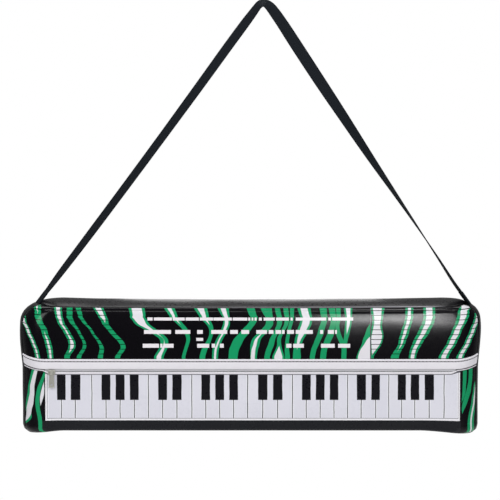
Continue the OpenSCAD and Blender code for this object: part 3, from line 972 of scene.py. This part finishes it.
def front_panel(name, side, low, high, upper, material):
    rows = with_edges(low, high, 2.2 * MM)
    crease = high - CREASE_DROP
    if upper:
        rows = [z for z in rows if abs(z - crease) > 1.3 * MM] + [crease + k * 0.4 * MM for k in range(-2, 3)]
    piece = cut(name, half_columns(side), sorted(rows))

    def where(u, z):
        depth = rolled(SEAM_U - SEAM_GAP - abs(u)) + 0.8 * rolled(z - low) + 0.8 * rolled(high - z)
        if upper:
            pressed = math.exp(-((z - crease) / CREASE_HALF) ** 2)
            depth += CREASE_DEPTH * pressed * smooth(SEAM_U, FLAT, abs(u))
            rise = end_rise(u) * (1 - smooth(low, low + EASE, z))
            rise -= seam_sag(u, -1) * smooth(high - EASE, high, z)
        else:
            rise = (CLOSED_RISE * past_zip(u) + LOWER_CLIMB * end_rise(u)) * smooth(high - 14 * MM, high, z)
        full = padding(u, z) * smooth(0, 12 * MM, min(z - low, high - z))
        return on_bag(u, z, FRONT, full - depth) + Vector((0, 0, rise))
    lay(piece, where)
    for corner in piece.data.uv_layers["pattern"].data:
        corner.uv.y -= BASE_Z
    thicken(piece, SKIN)
    finish_piece(piece, material, "printed_leather")
    return piece


def make_fronts():
    for side_name, side in SIDES.items():
        for lip, low, high, material in (
                ("upper", BAND_LOW, TOP_Z - SEAM_GAP, UPPER_PRINTS[side_name]),
                ("lower", FRONT_LOW, LOWER_EDGE, LOWER_PRINTS[side_name])):
            piece = front_panel(f"front_{lip}_{side_name}", side, low, high, lip == "upper", material)
            on_lip(piece, side, lip + "_lip")
            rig.replaces(piece, "front_panel_" + lip, lip + "_panel_ends")
            print(piece.name, len(piece.data.polygons), "faces")


make_fronts()

# %% [markdown]
# ## Back, top and base
#
# The back is one piece that wraps both ends to meet the printed front a little forward of the
# bag's very end, which is why a thin black edge shows there. The top and the base are long
# panels with a stiff board inside: their edges turn down into the seams, and their pointed ends
# take the corners of the bag.

# %% Back panel
def from_behind(s):
    """The place and the side of a point that lies s along the skin from the middle of the back."""
    if abs(s) > FLAT + QUARTER:
        return -math.copysign(2 * (FLAT + QUARTER) - abs(s), s), FRONT
    return -s, BACK


def make_back():
    reach = 2 * (FLAT + QUARTER) - SEAM_U - SEAM_GAP
    rows = with_edges(FRONT_LOW, TOP_Z - SEAM_GAP, 3 * MM)
    piece = cut("back", with_edges(-reach, reach, 3 * MM), rows)

    def where(s, z):
        depth = rolled(reach - abs(s)) + 0.8 * rolled(z - rows[0]) + 0.8 * rolled(rows[-1] - z)
        full = padding(s, z, 0.5 * MM) * smooth(0, 12 * MM, min(z - rows[0], rows[-1] - z))
        sag = seam_sag(s, 1) * smooth(TOP_Z - EASE, TOP_Z, z)
        u, side = from_behind(s)
        return on_bag(u, z, side, full - depth) - Vector((0, 0, sag))
    lay(piece, where)
    thicken(piece, SKIN, even=False)
    finish_piece(piece, black_leather, "black_leather")
    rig.ride(piece, "bag")
    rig.replaces(piece, "back_panel")
    print("back panel", round(2 * reach, 3), "long when flat,", len(piece.data.polygons), "faces")


make_back()

# %% Top and base panels
def plan_columns(size=2.5 * MM):
    """Places along a top or base panel: even on the flat, and by angle round the ends."""
    round_end = [FLAT + QUARTER * k / 20 for k in range(1, 21)]
    return mirrored(round_end, True) + steps(-FLAT, FLAT, size) + round_end


def flat_panel(name, z, up, crown, material, node):
    """A panel in the bag's plan at height z, crowned upwards (up = 1) or downwards (up = -1)."""
    half = half_depth(z)
    rows = [y / half for y in with_edges(-half, half, 2.5 * MM)]
    piece = cut(name, plan_columns(), rows)

    def where(u, part):
        edge = on_bag(u * up, z, FRONT)
        local = -edge.y
        y = part * local * (1 - SEAM_GAP / half)
        inside = local * (1 - abs(part))
        full = crown * (1 - part * part) * (local / half) ** 0.5 if local > 0 else 0
        dents = padding(u, y + 7, 0.4 * MM) * smooth(0, 10 * MM, inside)
        height = full + dents - 0.9 * rolled(inside)
        sag = seam_sag(u, part) if up > 0 else 0
        return Vector((edge.x, y, edge.z + up * height - sag))
    lay(piece, where)
    close_poles(piece)
    thicken(piece, SKIN, even=False)
    finish_piece(piece, material, "black_leather")
    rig.ride(piece, "bag")
    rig.replaces(piece, node)
    print(name, "panel:", len(piece.data.polygons), "faces")


flat_panel("top", TOP_Z + 0.3 * MM, 1, 3.2 * MM, top_finish, "top_panel")
flat_panel("base", FRONT_LOW - 0.3 * MM, -1, 0.4 * MM, black_leather, "bottom_panel")

# %% [markdown]
# ## The white band, the edging and the zip
#
# A flap of white leather covers the zip. It has a rounded welt along its top, a sewn groove
# under the welt and a flat face below, so its cross-section is drawn as a short list of heights
# and thicknesses and swept along the bag. The zip is a pair of woven tapes whose nylon teeth
# meet behind the flap's lower edge: one tooth is modelled, repeated in a row, and laid round.

# %% Band and edging
BAND = [(0, 0.45), (0.2, 0.95), (0.6, 1.22), (1.4, 1.3), (3.2, 1.36), (5.2, 1.36), (6.8, 1.3), (7.4, 1.1),
        (7.6, 0.6), (7.9, 0.3), (8.2, 0.6), (8.4, 1.1), (8.7, 1.5), (9.05, 1.72), (9.5, 1.72), (9.9, 1.5),
        (10.25, 1.1), (10.4, 0.5)]
EDGING_LOW = LOWER_EDGE - 0.8 * MM
EDGING = [(0, 0.1), (0.15, 0.5), (0.45, 0.85), (0.9, 1.0), (1.4, 1.0), (1.85, 0.8), (2.1, 0.5), (2.2, 0.1)]


def swept(name, side, low, profile, thickness, taper=None):
    """A strip along one half of the zip with this cross-section, in millimetres above low and out."""
    heights = [low + h * MM for h, _ in profile]
    piece = cut(name, half_columns(side, 2.5 * MM), heights)

    def where(u, z):
        nearest = min(range(len(heights)), key=lambda k: abs(heights[k] - z))
        out = profile[nearest][1] * MM * (1 - smooth(SEAM_U - 1.6 * MM, SEAM_U, abs(u)))
        climb = end_rise(u)
        if taper:
            z = heights[-1] + CLOSED_RISE * past_zip(u) - (heights[-1] - z) * (1 - taper * past_zip(u))
            climb *= LOWER_CLIMB
        return on_bag(u, z + climb, FRONT, out + 0.12 * MM * noise.noise(Vector((u * 40, z * 60, 9.0))))
    lay(piece, where)
    thicken(piece, thickness)
    finish_piece(piece, white_leather, "white_band")
    return piece


def make_band():
    for side_name, side in SIDES.items():
        band = swept("band_" + side_name, side, BAND_LOW, BAND, 0.5 * MM)
        on_lip(band, side, "upper_lip")
        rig.replaces(band, "zip_band", "band_ends")
        edging = swept("edging_" + side_name, side, EDGING_LOW, EDGING, 0.4 * MM, taper=0.55)
        on_lip(edging, side, "lower_lip")
        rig.replaces(edging, "zip_edging", "edging_ends")
        print(side_name, "band and edging:", len(band.data.polygons) + len(edging.data.polygons), "faces")


make_band()

# %% A small solid, repeated along the zip
def block(name, low, high, bevel, segments=3):
    """A block between two corners with rounded edges."""
    pick()
    bpy.ops.mesh.primitive_cube_add(size=1)
    piece = named(name)
    bpy.ops.object.mode_set(mode="EDIT")
    bpy.ops.mesh.select_all(action="SELECT")
    bpy.ops.transform.resize(value=[b - a for a, b in zip(low, high)])
    bpy.ops.transform.translate(value=[(a + b) / 2 for a, b in zip(low, high)])
    bpy.ops.mesh.bevel(offset=bevel, segments=segments, affect="EDGES")
    bpy.ops.object.mode_set(mode="OBJECT")
    return piece


def row_along_zip(name, side, size, bevel, pitch, reach, z, out):
    """A row of bevelled blocks from the middle to reach along one half, laid round the bag."""
    row = block(name, [-s / 2 for s in size], [s / 2 for s in size], bevel, 1)
    modify(row, "ARRAY", count=int(reach / pitch), use_relative_offset=False, use_constant_offset=True,
           constant_offset_displace=(side * pitch, 0, 0))
    for point in row.data.vertices:
        along = point.co.x + side * pitch / 2
        point.co = on_bag(along, z + point.co.z + end_rise(along), FRONT, out - point.co.y)
    row.data.uv_layers.active.name = "pattern"
    return row


STITCH = (2.4 * MM, 0.3 * MM, 0.3 * MM)      # along, into the bag, up
STITCH_PITCH = 3.6 * MM


def make_stitches():
    for side_name, side in SIDES.items():
        row = row_along_zip("band_stitches_" + side_name, side, STITCH, 0.1 * MM, STITCH_PITCH,
                            SEAM_U - 2 * MM, GROOVE_Z, 0.4 * MM)
        finish_piece(row, thread, "white_band")
        on_lip(row, side, "upper_lip")
        print(side_name, "stitches:", len(row.data.polygons), "faces")


make_stitches()

# %% Zip tapes and teeth
TAPE_DEPTH = 0.9 * MM
TAPE_HIGH = 10 * MM
TAPE_GAP = 0.25 * MM         # half the gap between the two tapes
TOOTH = (0.9 * MM, 1.2 * MM, 1.5 * MM)
TOOTH_PITCH = 1.5 * MM
TOOTH_RISE = 0.85 * MM       # from the zip's middle to the middle of a tooth


def make_tape(side_name, side, lip, up):
    low, high = sorted((ZIP_Z + up * TAPE_GAP, ZIP_Z + up * TAPE_HIGH))
    lengths = mirrored(steps(0, MOUTH_HALF + 18 * MM, 3 * MM), side < 0)
    tape = cut(f"tape_{lip}_{side_name}", lengths, steps(low, high, 1 * MM))
    lay(tape, lambda u, z: on_bag(u, z, FRONT, -TAPE_DEPTH))
    thicken(tape, 0.6 * MM)
    finish_piece(tape, tape_cloth, "zip_tape")
    on_lip(tape, side, lip + "_lip")
    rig.replaces(tape, "zip_tape_" + lip, "zip_ends")


def make_teeth(side_name, side, lip, up):
    teeth = row_along_zip(f"teeth_{lip}_{side_name}", side, TOOTH, 0.3 * MM, TOOTH_PITCH,
                          MOUTH_HALF + 14 * MM, ZIP_Z + up * TOOTH_RISE, -TAPE_DEPTH - 1.35 * MM)
    finish_piece(teeth, nylon, "zip_coil")
    on_lip(teeth, side, lip + "_lip")
    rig.replaces(teeth, "zip_coil_" + lip)


for side_name, side in SIDES.items():
    for make in (make_tape, make_teeth):
        for lip, up in LIPS.items():
            make(side_name, side, lip, up)
print("teeth every", TOOTH_PITCH / MM, "mm over", round(2 * MOUTH_HALF, 3), "m")

# %% [markdown]
# ## Padding and lining
#
# Behind each half of the front lies a sheet of foam in a lining cloth, sewn in at the zip. It
# shows when the mouth gapes, as a soft grey edge. Cloth simulation could swell it, but held
# between the leather and the melodica it stays an even sheet, so it is laid parallel to the skin,
# with its edges drawn in as a sewn edge is. The pocket itself is lined all round.

# %% Padded lips
PAD_DEPTH, PAD_THICK = 1.35 * MM, 3.4 * MM
PAD_LIMITS = {"upper": (ZIP_Z + 3.6 * MM, TOP_Z - 3 * MM), "lower": (BASE_Z + 4 * MM, ZIP_Z - 3.6 * MM)}


def make_pad(side_name, side, lip):
    low, high = PAD_LIMITS[lip]
    lengths = mirrored(steps(0, MOUTH_HALF - 1 * MM, 4 * MM), side < 0)
    pad = cut(f"pad_{lip}_{side_name}", lengths, steps(low, high, 2.5 * MM))

    def where(u, z):
        full = smooth(0, 9 * MM, min(z - low, high - z))
        return on_bag(u, z, FRONT, -PAD_DEPTH - 0.2 * MM * (1 - full) + 0.2 * padding(u, z))
    lay(pad, where)
    thicken(pad, PAD_THICK)
    soften(pad, 0.9 * MM, 3, 50)
    finish_piece(pad, lining_cloth, "lining")
    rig.padded(pad, fill=0.8)
    on_lip(pad, side, lip + "_lip")
    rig.replaces(pad, "foam_" + lip, "lining_" + lip)


for side_name, side in SIDES.items():
    for lip in LIPS:
        make_pad(side_name, side, lip)
print("pads", PAD_THICK / MM, "mm thick behind the skin")

# %% Lining of the pocket
LINING_DEPTH, LINING_THICK = 4.3 * MM, 0.6 * MM
FLOOR_Z, ROOF_Z = BASE_Z + 5.2 * MM, TOP_Z - 5.6 * MM


def make_lining_wall():
    reach = 2 * (FLAT + QUARTER) - MOUTH_HALF - 1 * MM
    wall = cut("lining_wall", steps(-reach, reach, 5 * MM), steps(FLOOR_Z, ROOF_Z, 5 * MM))

    def where(s, z):
        u, side = from_behind(s)
        return on_bag(u, z, side, -LINING_DEPTH + padding(s, z, 0.4 * MM))
    lay(wall, where)
    thicken(wall, LINING_THICK)
    finish_piece(wall, lining_cloth, "lining")
    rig.padded(wall, fill=0.6)
    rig.ride(wall, "bag")
    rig.replaces(wall, "lining_body", "foam_back")


def make_lining_sheet(name, z, up):
    sheet = cut(name, plan_columns(5 * MM), steps(-1, 1, 0.08))

    def where(u, part):
        edge = on_bag(u * up, z, FRONT, -LINING_DEPTH)
        return Vector((edge.x, -part * edge.y, z))
    lay(sheet, where)
    close_poles(sheet)
    thicken(sheet, LINING_THICK, even=False)
    finish_piece(sheet, lining_cloth, "lining")
    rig.ride(sheet, "bag")


make_lining_wall()
make_lining_sheet("lining_floor", FLOOR_Z, 1)
make_lining_sheet("lining_roof", ROOF_Z, -1)
print("pocket", round((ROOF_Z - FLOOR_Z) / MM), "mm high inside")

# %% [markdown]
# ## Slider and pull
#
# The slider is a small zinc casting: a body that runs on the teeth, a post in front with a head,
# and a flat pull that hangs on the post. Blocks with bevelled edges are enough at this size, but
# the body narrows towards the closed side and the pull has an eye and a hole near its end, which
# a Boolean modifier cuts.

# %% Slider
def rod(name, centre, radius, low_y, high_y, bevel=None):
    """A round rod along Y with turned edges."""
    pick()
    bpy.ops.mesh.primitive_cylinder_add(vertices=32, radius=radius, depth=high_y - low_y,
                                        location=(centre[0], (low_y + high_y) / 2, centre[1]),
                                        rotation=(math.pi / 2, 0, 0))
    piece = named(name)
    bpy.ops.object.transform_apply(location=True, rotation=True, scale=True)
    if bevel:
        soften(piece, bevel, 2)
    return piece


pull_low, pull_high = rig.box("pull_tab")
PULL_HALF = (pull_high.x - pull_low.x) / 2
PIVOT = ((pull_low.x + pull_high.x) / 2, pull_high.z - PULL_HALF)    # x and z of the post
CLOSING_TAPER = 0.22         # how much the body narrows towards the closed side


def make_slider():
    low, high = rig.box("slider_body")
    face = pull_high.y + 0.4 * MM
    top, bottom = high.z - 0.1 * MM, low.z
    plate = block("slider_plate", (low.x, face, bottom), (high.x, face + 1.2 * MM, top), 0.45 * MM)
    for point in plate.data.vertices:
        point.co.z += (PIVOT[1] - point.co.z) * CLOSING_TAPER * smooth(PIVOT[0], high.x, point.co.x)
    tongue = block("slider_tongue", (low.x + 0.8 * MM, face + 1.0 * MM, ZIP_Z - 0.8 * MM),
                   (high.x - 0.8 * MM, high.y, ZIP_Z + 2.0 * MM), 0.3 * MM)
    rim = block("slider_rim", (low.x + 1.0 * MM, face - 0.25 * MM, bottom + 0.7 * MM),
                (high.x - 1.3 * MM, face + 0.4 * MM, top - 0.7 * MM), 0.24 * MM)
    post = rod("slider_post", PIVOT, 1.0 * MM, low.y + 0.3 * MM, face + 0.4 * MM)
    head = rod("slider_head", PIVOT, 1.75 * MM, low.y, low.y + 0.7 * MM, 0.25 * MM)
    pick(plate, tongue, rim, post, head)
    bpy.ops.object.join()
    slider = named("slider")
    finish_piece(slider, zinc, "zip_metal", 40)
    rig.ride(slider, "slider")
    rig.replaces(slider, "slider_body")
    print("slider", round((high.x - low.x) / MM, 1), "mm long")


make_slider()

# %% Pull
def make_pull():
    """A flat tab, narrowed above the post, with an eye for the post and a hole near its end."""
    tab = block("pull", pull_low, pull_high, 0.3 * MM)
    for point in tab.data.vertices:
        across = point.co.x - PIVOT[0]
        if point.co.z > PIVOT[1] and abs(across) > PULL_HALF * 0.6:
            point.co.x = PIVOT[0] + math.copysign(PULL_HALF * 0.62, across)
    for name, centre_z, radius in (("eye", PIVOT[1], 1.3 * MM), ("hole", pull_low.z + 3 * MM, 0.9 * MM)):
        cutter = rod(name, (PIVOT[0], centre_z), radius, pull_low.y - 1 * MM, pull_high.y + 1 * MM)
        modify(tab, "BOOLEAN", operation="DIFFERENCE", solver="EXACT", object=cutter)
        bpy.data.objects.remove(cutter)
    finish_piece(tab, zinc, "zip_metal", 40)
    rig.ride(tab, "pull")
    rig.replaces(tab, "pull_tab")
    print("pull", round((pull_high.z - pull_low.z) / MM, 1), "mm long")


make_pull()

# %% [markdown]
# ## The strap
#
# The strap is flat webbing that hangs as it would over a hook: straight on the left, turned edge
# on at the lower right, where a twist has settled. Webbing is drawn directly as a ribbon swept
# along its route, because it is thin and taut. The route and its turns are those of the design.

# %% Route of the webbing: x, z and turn
WEB_WIDTH, WEB_THICK = 12 * MM, 1.2 * MM
ROUTE = [
    (-220.2, -291.6, 12), (-206.6, -273.5, 23), (-178.7, -236.5, 31), (-139.7, -184, 34), (-99.3, -129, 37),
    (-59.4, -74, 42), (-33.2, -37.5, 44), (-16.7, -15, 42), (-9.4, -5.2, 36), (-5.8, -0.2, 32), (-4, 1.8, 31),
    (-2.1, 3, 30), (0, 3.5, 30), (2.1, 3.1, 33), (4.2, 1.8, 39), (7, -0.6, 48), (11.2, -6, 57),
    (18.8, -17, 64), (30, -34.4, 74), (54, -71.4, 70), (80.8, -112, 50), (107.5, -152.6, 31),
    (132.9, -190.2, 13), (158.3, -228, -1), (178, -258, -9), (191.5, -279.2, -14), (200.3, -291.6, -16)]


def smooth_route():
    """Points every few millimetres on a smooth curve through the route, with the turn at each."""
    points = [Vector((x * MM, z * MM, turn)) for x, z, turn in ROUTE]
    fine = []
    for k in range(len(points) - 1):
        a, b = points[max(k - 1, 0)], points[k]
        c, d = points[k + 1], points[min(k + 2, len(points) - 1)]
        length = (c - b).xy.length
        reach_a, reach_d = max((b - a).xy.length, 1e-6), max((d - c).xy.length, 1e-6)
        out_b = ((c - b) / length + (b - a) / reach_a) * 0.5 * length if k else c - b
        out_c = ((c - b) / length + (d - c) / reach_d) * 0.5 * length if k < len(points) - 2 else c - b
        count = max(2, round(length / (3 * MM)))
        for i in range(count):
            t = i / count
            fine.append(b * (2 * t ** 3 - 3 * t ** 2 + 1) + out_b * (t ** 3 - 2 * t ** 2 + t)
                        + c * (3 * t ** 2 - 2 * t ** 3) + out_c * (t ** 3 - t ** 2))
    return fine + [points[-1]]


def frame_at(fine, k):
    """Centre and widthwise direction of the webbing at a point of the route."""
    a, b = fine[max(k - 1, 0)], fine[min(k + 1, len(fine) - 1)]
    along = (b - a).xy.normalized()
    turn = math.radians(fine[k].z)
    wide = Vector((-along.y * math.sin(turn), math.cos(turn), along.x * math.sin(turn)))
    return Vector((fine[k].x, 0, fine[k].y)), wide


def make_strap():
    fine = smooth_route()
    lengths = [0.0]
    for a, b in zip(fine, fine[1:]):
        lengths.append(lengths[-1] + (b - a).xy.length)
    strap = cut("shoulder_strap", lengths, steps(-WEB_WIDTH / 2, WEB_WIDTH / 2, 1.5 * MM))
    frames = [frame_at(fine, k) for k in range(len(fine))]

    def where(s, across):
        nearest = min(range(len(lengths)), key=lambda k: abs(lengths[k] - s))
        centre, wide = frames[nearest]
        return centre + wide * across
    lay(strap, where)
    thicken(strap, WEB_THICK, 0)
    soften(strap, 0.35 * MM, 2)
    finish_piece(strap, webbing, "webbing")
    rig.ride(strap, "strap")
    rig.replaces(strap, "strap")
    centres = [tuple(centre) for centre, _ in frames]
    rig.cord(strap, exit=centres[0], length=round(lengths[-1], 3), diameter=WEB_WIDTH, far_end="object",
            stiffness="limp", lay="taut", path=centres[::6] + [centres[-1]])
    print("strap", round(lengths[-1], 3), "long,", len(strap.data.polygons), "faces")
    return frames


STRAP_FRAMES = make_strap()

# %% Sewn ends of the strap
END_DROP = 10 * MM           # from the foot of the strap down into the top seam


def make_strap_end(name, outer, inner, node):
    """A doubled piece of webbing that runs on down into the tip of the top panel."""
    foot, wide = outer
    along = (foot - inner[0]).normalized()
    reach = END_DROP / abs(along.z)
    end = cut(name, steps(-WEB_WIDTH / 2, WEB_WIDTH / 2, 1.5 * MM), steps(-3 * MM, reach, 1 * MM))
    lay(end, lambda across, s: foot + along * s + wide * across)
    thicken(end, WEB_THICK * 1.6, 0)
    soften(end, 0.4 * MM, 2)
    finish_piece(end, webbing, "webbing")
    low = foot + along * reach * 0.75
    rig.blend(end, "bag", "strap", start=(foot.x, 0, low.z), end=(foot.x, 0, foot.z + 1 * MM))
    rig.replaces(end, node)
    print(name, round(reach, 4), "long below the foot")


make_strap_end("strap_end_left", STRAP_FRAMES[0], STRAP_FRAMES[1], "strap_tab_left")
make_strap_end("strap_end_right", STRAP_FRAMES[-1], STRAP_FRAMES[-2], "strap_tab_right")

# %% [markdown]
# ## The stiff boards
#
# Two boards lie inside the lining, one under the top panel and one on the floor. The one on the
# floor lies flat as it was designed, so it keeps its shape and only takes a material. The upper
# one bends with the top panel, which hangs a little mid-length, so it is cut and laid again.

# %% Boards
def make_top_board():
    low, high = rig.box("top_board")
    half = (high.y - low.y) / 2
    sheet = cut("board_top", steps(low.x - MIDDLE_X, high.x - MIDDLE_X, 6 * MM), steps(-1, 1, 0.1))

    def where(u, part):
        y = part * min(half, -on_bag(u, TOP_Z - 2 * MM, FRONT).y - 3 * MM)
        return Vector((MIDDLE_X + u, y, high.z - 0.2 * MM - seam_sag(u, y / half)))
    lay(sheet, where)
    thicken(sheet, high.z - low.z, even=False)
    finish_piece(sheet, board, "board")
    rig.ride(sheet, "bag")
    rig.replaces(sheet, "top_board")


make_top_board()
base_board = frame["nodes"]["base_board"]
base_board.data.materials.clear()
base_board.data.materials.append(board)
print("boards finished")

# %% [markdown]
# ## Floor, sky and lamps
#
# The ground is plain white. The world and the floor are white to the camera, the floor keeps a
# soft shadow below the bag, and their light on the bag is kept at a plain level. Two broad soft
# lamps stand in front, one stands behind and one hangs overhead. Two small white cards only show
# in the shine of one piece each: low on the right for the upper front, and behind for the top.

# %% Floor and world
FLOOR_Z_LOW = BASE_Z - 0.9   # the bag hangs well above it
FLOOR_SHADOW_RADIUS = 2.0    # metres round the bag within which the floor shows its shadow
FLOOR_LIGHT, WORLD_LIGHT = 0.2, 0.55     # their light on the bag
SHINE_LOW, SHINE_HIGH = 0.04, 0.12       # the dark studio in reflections, and its paler wall behind


def empty_tree(owner):
    """The cleared node tree of a world or a material."""
    owner.use_nodes = True
    owner.node_tree.nodes.clear()
    return owner.node_tree


def make_floor():
    pick()
    bpy.ops.mesh.primitive_plane_add(size=5, location=(0, 0.4, FLOOR_Z_LOW))
    floor = named("floor")
    bpy.ops.object.transform_apply(location=True)
    material = bpy.data.materials.new("floor")
    tree = empty_tree(material)
    wire = Wire(tree)
    rays = [wire.node("LightPath", output=k) for k in (0, 3, 6)]     # camera, glossy, transmission
    across, along, _ = wire.node("TexCoord", output=3).xyz()
    below_the_bag = (1 - (across * across + along * along) / FLOOR_SHADOW_RADIUS ** 2).clamp()
    seen = (rays[0] * (1 - 0.3 * below_the_bag)) | rays[2] | (FLOOR_LIGHT * rays[1])
    shadow = wire.node("BsdfDiffuse", None, {"Color": (0.8, 0.8, 0.8, 1)})
    white = wire.node("Emission", None, {"Color": (1, 1, 1, 1), "Strength": 1.0})
    mixed = wire.node("MixShader", None, {0: seen, 1: shadow, 2: white})
    tree.links.new(mixed.socket, tree.nodes.new("ShaderNodeOutputMaterial").inputs[0])
    floor.data.materials.append(material)
    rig.stage(floor)


def make_world():
    world = bpy.context.scene.world = bpy.data.worlds.new("studio")
    tree = empty_tree(world)
    wire = Wire(tree)
    camera_ray, glossy_ray, clear_ray = [wire.node("LightPath", output=k) for k in (0, 3, 6)]
    _, toward, up = wire.node("TexCoord", output=0).xyz()
    behind = ((toward - 0.25) / 0.6).clamp()
    low = (1 - (up - 0.2) / 0.35).clamp()
    shine = glossy_ray * (SHINE_LOW + SHINE_HIGH * behind * low)
    strength = camera_ray | clear_ray | shine | (WORLD_LIGHT * (1 - (camera_ray | glossy_ray)))
    light = wire.node("Background", None, {"Color": (1, 1, 1, 1), "Strength": strength})
    tree.links.new(light.socket, tree.nodes.new("ShaderNodeOutputWorld").inputs[0])
    bpy.context.scene.view_settings.view_transform = "Standard"


make_floor()
make_world()
print("floor at", round(FLOOR_Z_LOW, 3))

# %% Lamps
BAG_MIDDLE = (MIDDLE_X, FACE_Y, (TOP_Z + BASE_Z) / 2)


def soft_lamp(name, place, size, power, aim=BAG_MIDDLE, shine_on=None):
    """A soft lamp that points at a spot; one with shine_on only shows in that piece's reflections."""
    pick()
    bpy.ops.object.light_add(type="AREA", location=place)
    lamp = named(name)
    lamp.data.shape = "RECTANGLE"
    lamp.data.size, lamp.data.size_y = size
    lamp.data.energy = power
    lamp.rotation_euler = (Vector(aim) - Vector(place)).to_track_quat("-Z", "Y").to_euler()
    if shine_on:
        lamp.visible_camera = lamp.visible_diffuse = False
        shone_on = bpy.data.collections.new("shone_on_by_" + name)
        shone_on.objects.link(bpy.data.objects[shine_on])
        lamp.light_linking.receiver_collection = shone_on


soft_lamp("front_left", (-1.6, -2.2, 1.2), (1.4, 1.4), 26)
soft_lamp("front_right", (1.6, -2.2, 1.0), (1.2, 1.2), 18)
soft_lamp("over_back", (0.0, 1.8, 1.6), (2.4, 1.0), 16)
soft_lamp("overhead", (MIDDLE_X, -0.25, 1.0), (0.9, 0.3), 5)
soft_lamp("card_right", (0.138, -0.44, -0.2), (0.11, 0.045), 0.6, (0.125, FACE_Y, TOP_Z - 0.012),
          "front_upper_right")
soft_lamp("card_back", (MIDDLE_X, 0.6, -0.29), (0.28, 0.24), 0.3, (MIDDLE_X, 0, TOP_Z), "top")
print("lamps placed")

# %% Write the extents of the frame and of the dressed bag
seen_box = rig.bounds()
with open("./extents.json", "w") as notes:
    json.dump({"cad": [list(corner) for corner in cad_box], "visual": [list(corner) for corner in seen_box]}, notes)
print("visual box", [[round(c, 4) for c in corner] for corner in seen_box])
